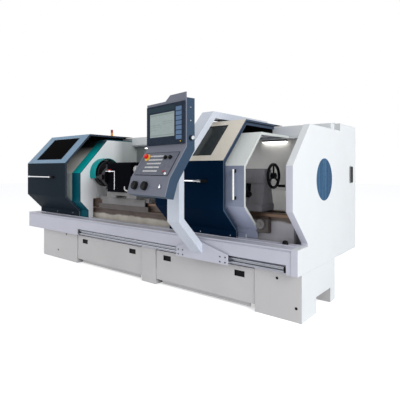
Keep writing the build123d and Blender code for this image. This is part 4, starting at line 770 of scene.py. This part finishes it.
# Guards: window seals, handle ends, roof seals, an end seal, screws and the groove of the right frame
guard_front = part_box("left_door")[0].y
guard_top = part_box("left_door")[1].z
slope_run, slope_rise = 0.3943, 0.418
slope_length = 0.5746
slope_out = Vector((0, -slope_rise, slope_run)).normalized()
slope_up = Vector((0, slope_run, slope_rise)).normalized()
brow_y, brow_z = -0.565, guard_top - slope_rise
sill_y = -0.35
seal_top = guard_top - 0.0035
window_margin_x, window_margin_up = 0.37, 0.156
end_seal_low, end_seal_front, end_seal_back = 1.7135, -0.16, 0.547
roof_seals = {"left_door": (0.438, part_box("headstock_band")[1].z + 0.004), "right_door": (0.43, 1.662)}
screw_spots = {
    "left_door": ((-1.993, 0.672), (-1.593, 0.68)),
    "right_door": ((0.727, 0.656), (1.099, 0.656)),
}
for name in ("left_door", "right_door"):
    low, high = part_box(name)
    seal = bmesh.new()
    window_wide, window_tall = high.x - low.x - window_margin_x, slope_length - window_margin_up
    middle = Vector(((low.x + high.x) / 2, guard_front, brow_z)) + slope_up * (slope_length / 2)
    add_frame(seal, window_wide, window_tall, 0.007, 0.0022, surface(middle, along_x, slope_out))
    added(f"{name}_window_seal", seal, rubber_black, name)

    bar_low, bar_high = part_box(f"{name}_handle")
    end = bmesh.new()
    end_low = (bar_high.x - 0.012, bar_low.y, bar_low.z - 0.003)
    end_high = (bar_high.x + 0.045, guard_front, bar_high.z + 0.003)
    add_slab(end, end_low, end_high, 0.003)
    added(f"{name}_handle_end", end, plastic_black, name)

    brush = bmesh.new()
    brush_y, brush_low = roof_seals[name]
    add_slab(brush, (low.x + 0.004, brush_y, brush_low), (high.x - 0.03, brush_y + 0.012, seal_top), 0.002)
    added(f"{name}_roof_seal", brush, rubber_black, name)

    if name == "left_door":
        cheek = bmesh.new()
        cheek_low = (low.x + 0.004, end_seal_front, end_seal_low)
        add_slab(cheek, cheek_low, (low.x + 0.014, end_seal_back, seal_top), 0.002)
        added("left_door_end_seal", cheek, rubber_black, name)

    screws = bmesh.new()
    for x, z in screw_spots[name]:
        add_screw(screws, (x, sill_y, z), to_front)
    added(f"{name}_screws", screws, steel_bright, name)

guard_line = [Vector(point) for point in (
    (sill_y, 0.64), (sill_y, 0.703), (brow_y, 0.918),
    (brow_y, brow_z), (guard_front + slope_run, guard_top), (0.43, guard_top),
)]


def add_strip(work, near, deep, x_low, x_high):
    """A flat band along the guards' outline, between two depths inside it and two places along X."""
    runs = [(after - before).normalized() for before, after in zip(guard_line, guard_line[1:])]
    inward = [Vector((run.y, -run.x)) for run in runs]
    loops = []
    for corner, before, after in zip(guard_line, inward[:1] + inward, inward + inward[-1:]):
        side = (before + after) / (1 + before.dot(after))
        outer, inner = corner + side * near, corner + side * deep
        points = ((x_high, *outer), (x_high, *inner), (x_low, *inner), (x_low, *outer))
        loops.append([work.verts.new(point) for point in points])
    skin(work, loops)
    bmesh.ops.recalc_face_normals(work, faces=work.faces)


frame_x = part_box("right_door")[1].x
groove = bmesh.new()
add_strip(groove, 0.0195, 0.0265, frame_x - 0.002, frame_x + 0.0004)
added("right_door_groove", groove, rubber_black, "right_door")

# Carrier, pedestals, rail and bed: screws, plugs, buffers, the screw bearing and a drain cap
carrier_low, carrier_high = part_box("desk_carrier")
outer_inset, inner_inset = 0.028, 0.088
left_columns = (carrier_low.x + outer_inset, carrier_low.x + inner_inset)
right_columns = (carrier_high.x - inner_inset, carrier_high.x - outer_inset)
screws = bmesh.new()
for x in left_columns + right_columns:
    for z in (0.424, 0.472):
        add_screw(screws, (x, carrier_low.y, z), to_front, 0.0075)
added("carrier_screws", screws, steel_dark, body_of["desk_carrier"])

pedestal_y = -0.395
plugs = bmesh.new()
plug_rings = ((0.0125, 0.0), (0.0125, 0.0012), (0.0095, 0.003))
for x, z in ((-1.685, 0.368), (1.621, 0.347), (-1.9, 0.12), (1.8, 0.12)):
    add_turned(plugs, plug_rings, surface((x, pedestal_y, z), along_x, to_front), 20)
added("pedestal_plugs", plugs, rubber_black, body_of["pedestals"])

buffers = bmesh.new()
rail_low, rail_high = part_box("console_rail")
for x in (rail_low.x, rail_high.x - 0.03):
    buffer_low = (x - 0.0005, rail_low.y - 0.001, rail_low.z - 0.002)
    add_slab(buffers, buffer_low, (x + 0.0305, rail_high.y, rail_high.z + 0.002), 0.004)
added("rail_buffers", buffers, rubber_black, body_of["console_rail"])

bearing_y = -0.268
bearing, bearing_ring = bmesh.new(), bmesh.new()
add_slab(bearing, (1.335, bearing_y, 0.7), (1.47, -0.2, 0.832), 0.006)
bearing_rings = ((0.047, 0.0), (0.047, 0.02), (0.04, 0.026), (0.018, 0.026), (0.016, 0.034))
add_turned(bearing_ring, bearing_rings, surface((1.386, bearing_y, 0.782), along_x, to_front))
added("screw_bearing", bearing, cast_apron, body_of["bed"])
added("screw_bearing_ring", bearing_ring, cast_saddle, body_of["bed"])

cap = bmesh.new()
cap_rings = ((0.027, 0.0), (0.027, 0.012), (0.024, 0.026), (0.016, 0.035), (0.006, 0.038))
add_turned(cap, cap_rings, surface((1.66, -0.3155, 0.63), along_x, along_z))
added("drain_cap", cap, rubber_black, body_of["front_beam"])

# Tailstock: block head, foot with a step, tapered waist, two rings on the axis and a dark slab as painted shade in
# the recess
tail_low, tail_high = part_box("tailstock_body")
tail_end = 1.365
axis_y, axis_z = -0.087, 1.232
head_half, head_down, head_up = 0.08, 0.076, 0.07
step_half = 0.112
recess_half = 0.05
waist_ends = (1.2165, 1.363)
waist = ((-0.108, 0.957), (0.108, 0.957), (0.066, 1.165), (-0.066, 1.165))
rear_rings = ((0.034, 0.0), (0.034, 0.036), (0.03, 0.04))
quill_rings = ((0.05, 0.0), (0.05, 0.01), (0.046, 0.013))
stock = bmesh.new()
head_low = (tail_low.x, axis_y - head_half, axis_z - head_down)
add_slab(stock, head_low, (tail_end, axis_y + head_half, axis_z + head_up), 0.01)
add_slab(stock, (tail_low.x, tail_low.y, tail_low.z), (tail_end, tail_high.y, tail_low.z + 0.07), 0.006)
step_low = (tail_low.x + 0.012, axis_y - step_half, tail_low.z + 0.066)
add_slab(stock, step_low, (1.235, axis_y + step_half, tail_low.z + 0.128), 0.008)
skin(stock, [[stock.verts.new((x, axis_y + y, z)) for y, z in waist] for x in waist_ends])
add_turned(stock, rear_rings, surface((tail_end, axis_y, axis_z), along_y, along_x))
add_turned(stock, quill_rings, surface((tail_low.x, axis_y, axis_z), along_y, to_left))
stock_piece = added("tailstock_casting", stock, cast_tail, body_of["tailstock_body"])
bpy.data.objects.remove(dressed.pop("tailstock_body"))
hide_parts("tailstock_body")
# Painted shade: a dark slab stands for the shade in the recess under the head
recess = bmesh.new()
recess_low = (tail_low.x + 0.02, axis_y - recess_half, tail_low.z + 0.12)
add_slab(recess, recess_low, (1.222, axis_y + recess_half, axis_z - 0.07), 0.004)
added("tailstock_recess_shade", recess, paint_inside_shade, body_of["tailstock_body"])

# Turret: a pale cap ring with a dark middle, a supply loop and fittings
turret_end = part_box("turret_housing")[1].x
cap_y, cap_z = -0.328, 1.2943
cap_radius, recess_radius = 0.044, 0.0325


def cap_face(middle, normal):
    """A test for faces of the turret's cap."""
    return middle.x > turret_end - 0.0455 and hypot(middle.y - cap_y, middle.z - cap_z) < cap_radius


def cap_recess_face(middle, normal):
    """A test for the floor of the recess in the turret's cap."""
    inside = middle.x > turret_end - 0.04 and hypot(middle.y - cap_y, middle.z - cap_z) < recess_radius
    return inside and normal.x > 0.5


paint_faces(dressed["turret_housing"], plastic_white, cap_face)
paint_faces(dressed["turret_housing"], plastic_black, cap_recess_face)
first_bend = ((-0.29, -0.372, 1.2), (-0.2, -0.372, 1.2), (-0.19, -0.43, 1.04), (-0.3, -0.434, 1.036))
second_bend = ((-0.3, -0.434, 1.036), (-0.35, -0.434, 1.036), (-0.39, -0.434, 1.05), (-0.395, -0.411, 1.085))
first_line, second_line = (
    interpolate_bezier(*(Vector(point) for point in bend), 24) for bend in (first_bend, second_bend)
)
loop = bmesh.new()
add_tube(loop, first_line + second_line[1:], 0.0075)
added("supply_loop", loop, plastic_white, body_of["turret_housing"])
fittings = bmesh.new()
fitting_shares = ((0.014, 0.0), (0.014, 0.4), (0.011, 0.45), (0.011, 0.9), (0.008, 1.0))
for y, z, reach in ((-0.372, 1.2, 0.03), (-0.25, 1.32, 0.022), (-0.25, 1.25, 0.022)):
    fitting_rings = [(radius, share * reach) for radius, share in fitting_shares]
    add_turned(fittings, fitting_rings, surface((turret_end - 0.046, y, z), along_y, along_x), 18)
added("turret_fittings", fittings, steel_bright, body_of["turret_housing"])

# Saddle: a dark apron along its foot
saddle_low, saddle_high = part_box("saddle")
apron = bmesh.new()
apron_low = (saddle_low.x + 0.01, -0.2725, saddle_low.z + 0.004)
add_slab(apron, apron_low, (saddle_high.x - 0.01, -0.266, 0.84), 0.002)
added("saddle_apron", apron, cast_apron, body_of["saddle"])

# Lamps: lit lenses
lens_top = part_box("lamps")[0].z + 0.0085
paint_faces(dressed["lamps"], lamp_glow, lambda middle, normal: middle.z < lens_top and normal.z < 0.5)

# Signal light: amber below, red above
signal_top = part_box("signal_light")[1].z
lens_height = 0.053
paint_faces(dressed["signal_light"], lens_amber, within(z=(signal_top - 2 * lens_height, far)))
paint_faces(dressed["signal_light"], lens_red, within(z=(signal_top - lens_height, far)))


def shown_rays(tree):
    """One for rays that see a surface straight, mirrored or through glass, and nought for the others."""
    path = tree.nodes.new("ShaderNodeLightPath")
    shown = path.outputs["Is Camera Ray"]
    for ray in ("Is Glossy Ray", "Is Transmission Ray"):
        shown = combined(tree, "MAXIMUM", shown, path.outputs[ray])
    return shown


# Floor, light and camera
white = (1.0, 1.0, 1.0, 1.0)
floor_mesh = bpy.data.meshes.new("floor")
half = floor_span / 2
floor_corners = ((-half, -half, 0), (half, -half, 0), (half, half, 0), (-half, half, 0))
floor_mesh.from_pydata(floor_corners, [], [(0, 1, 2, 3)])
floor = placed("floor", floor_mesh)
floor_paint = painted("floor_paint", colour(240, 242, 244), 0.99, 0.8, 0.01)
floor_tree = floor_paint.node_tree
floor_shader = floor_tree.nodes["Principled BSDF"]
floor_shader.inputs["Specular IOR Level"].default_value = 0.0
floor_shader.inputs["Emission Color"].default_value = white
floor_lift = floor_tree.nodes.new("ShaderNodeMath")
floor_lift.operation = "MULTIPLY"
floor_lift.inputs[1].default_value = floor_white
floor_tree.links.new(shown_rays(floor_tree), floor_lift.inputs[0])
floor_tree.links.new(floor_lift.outputs["Value"], floor_shader.inputs["Emission Strength"])
floor_mesh.materials.append(floor_paint)

world = bpy.data.worlds.new("studio")
bpy.context.scene.world = world
world.use_nodes = True
sky_tree = world.node_tree
ambient = sky_tree.nodes["Background"]
ambient.inputs["Color"].default_value = white
ambient.inputs["Strength"].default_value = sky_level
backdrop = sky_tree.nodes.new("ShaderNodeBackground")
backdrop.inputs["Color"].default_value = white
backdrop.inputs["Strength"].default_value = 1.0
sky_mix = sky_tree.nodes.new("ShaderNodeMixShader")
sky_tree.links.new(shown_rays(sky_tree), sky_mix.inputs["Fac"])
sky_tree.links.new(ambient.outputs["Background"], sky_mix.inputs[1])
sky_tree.links.new(backdrop.outputs["Background"], sky_mix.inputs[2])
sky_tree.links.new(sky_mix.outputs["Shader"], sky_tree.nodes["World Output"].inputs["Surface"])


def lamp(name, place, aim, size, power):
    """A soft square light aimed at a point."""
    light = bpy.data.lights.new(name, "AREA")
    light.size = size
    light.energy = power
    holder = placed(name, light)
    holder.location = place
    holder.rotation_euler = (Vector(aim) - Vector(place)).to_track_quat("-Z", "Y").to_euler()


lamp("key_light", place=(9.5, -3.4, 4.6), aim=(0, 0, 0.9), size=5.0, power=600)
lamp("fill_light", place=(-6.0, -6.5, 3.5), aim=(-1.0, 0, 0.8), size=4.0, power=130)

camera_data = bpy.data.cameras.new("camera")
camera_data.lens = camera_lens
camera_data.sensor_width = camera_sensor
camera_data.shift_y = horizon_shift
camera = placed("camera", camera_data)
camera.location = camera_place
camera.rotation_euler = (radians(90.0), 0.0, radians(camera_turn))
bpy.context.scene.camera = camera
bpy.context.scene.view_settings.view_transform = "Standard"
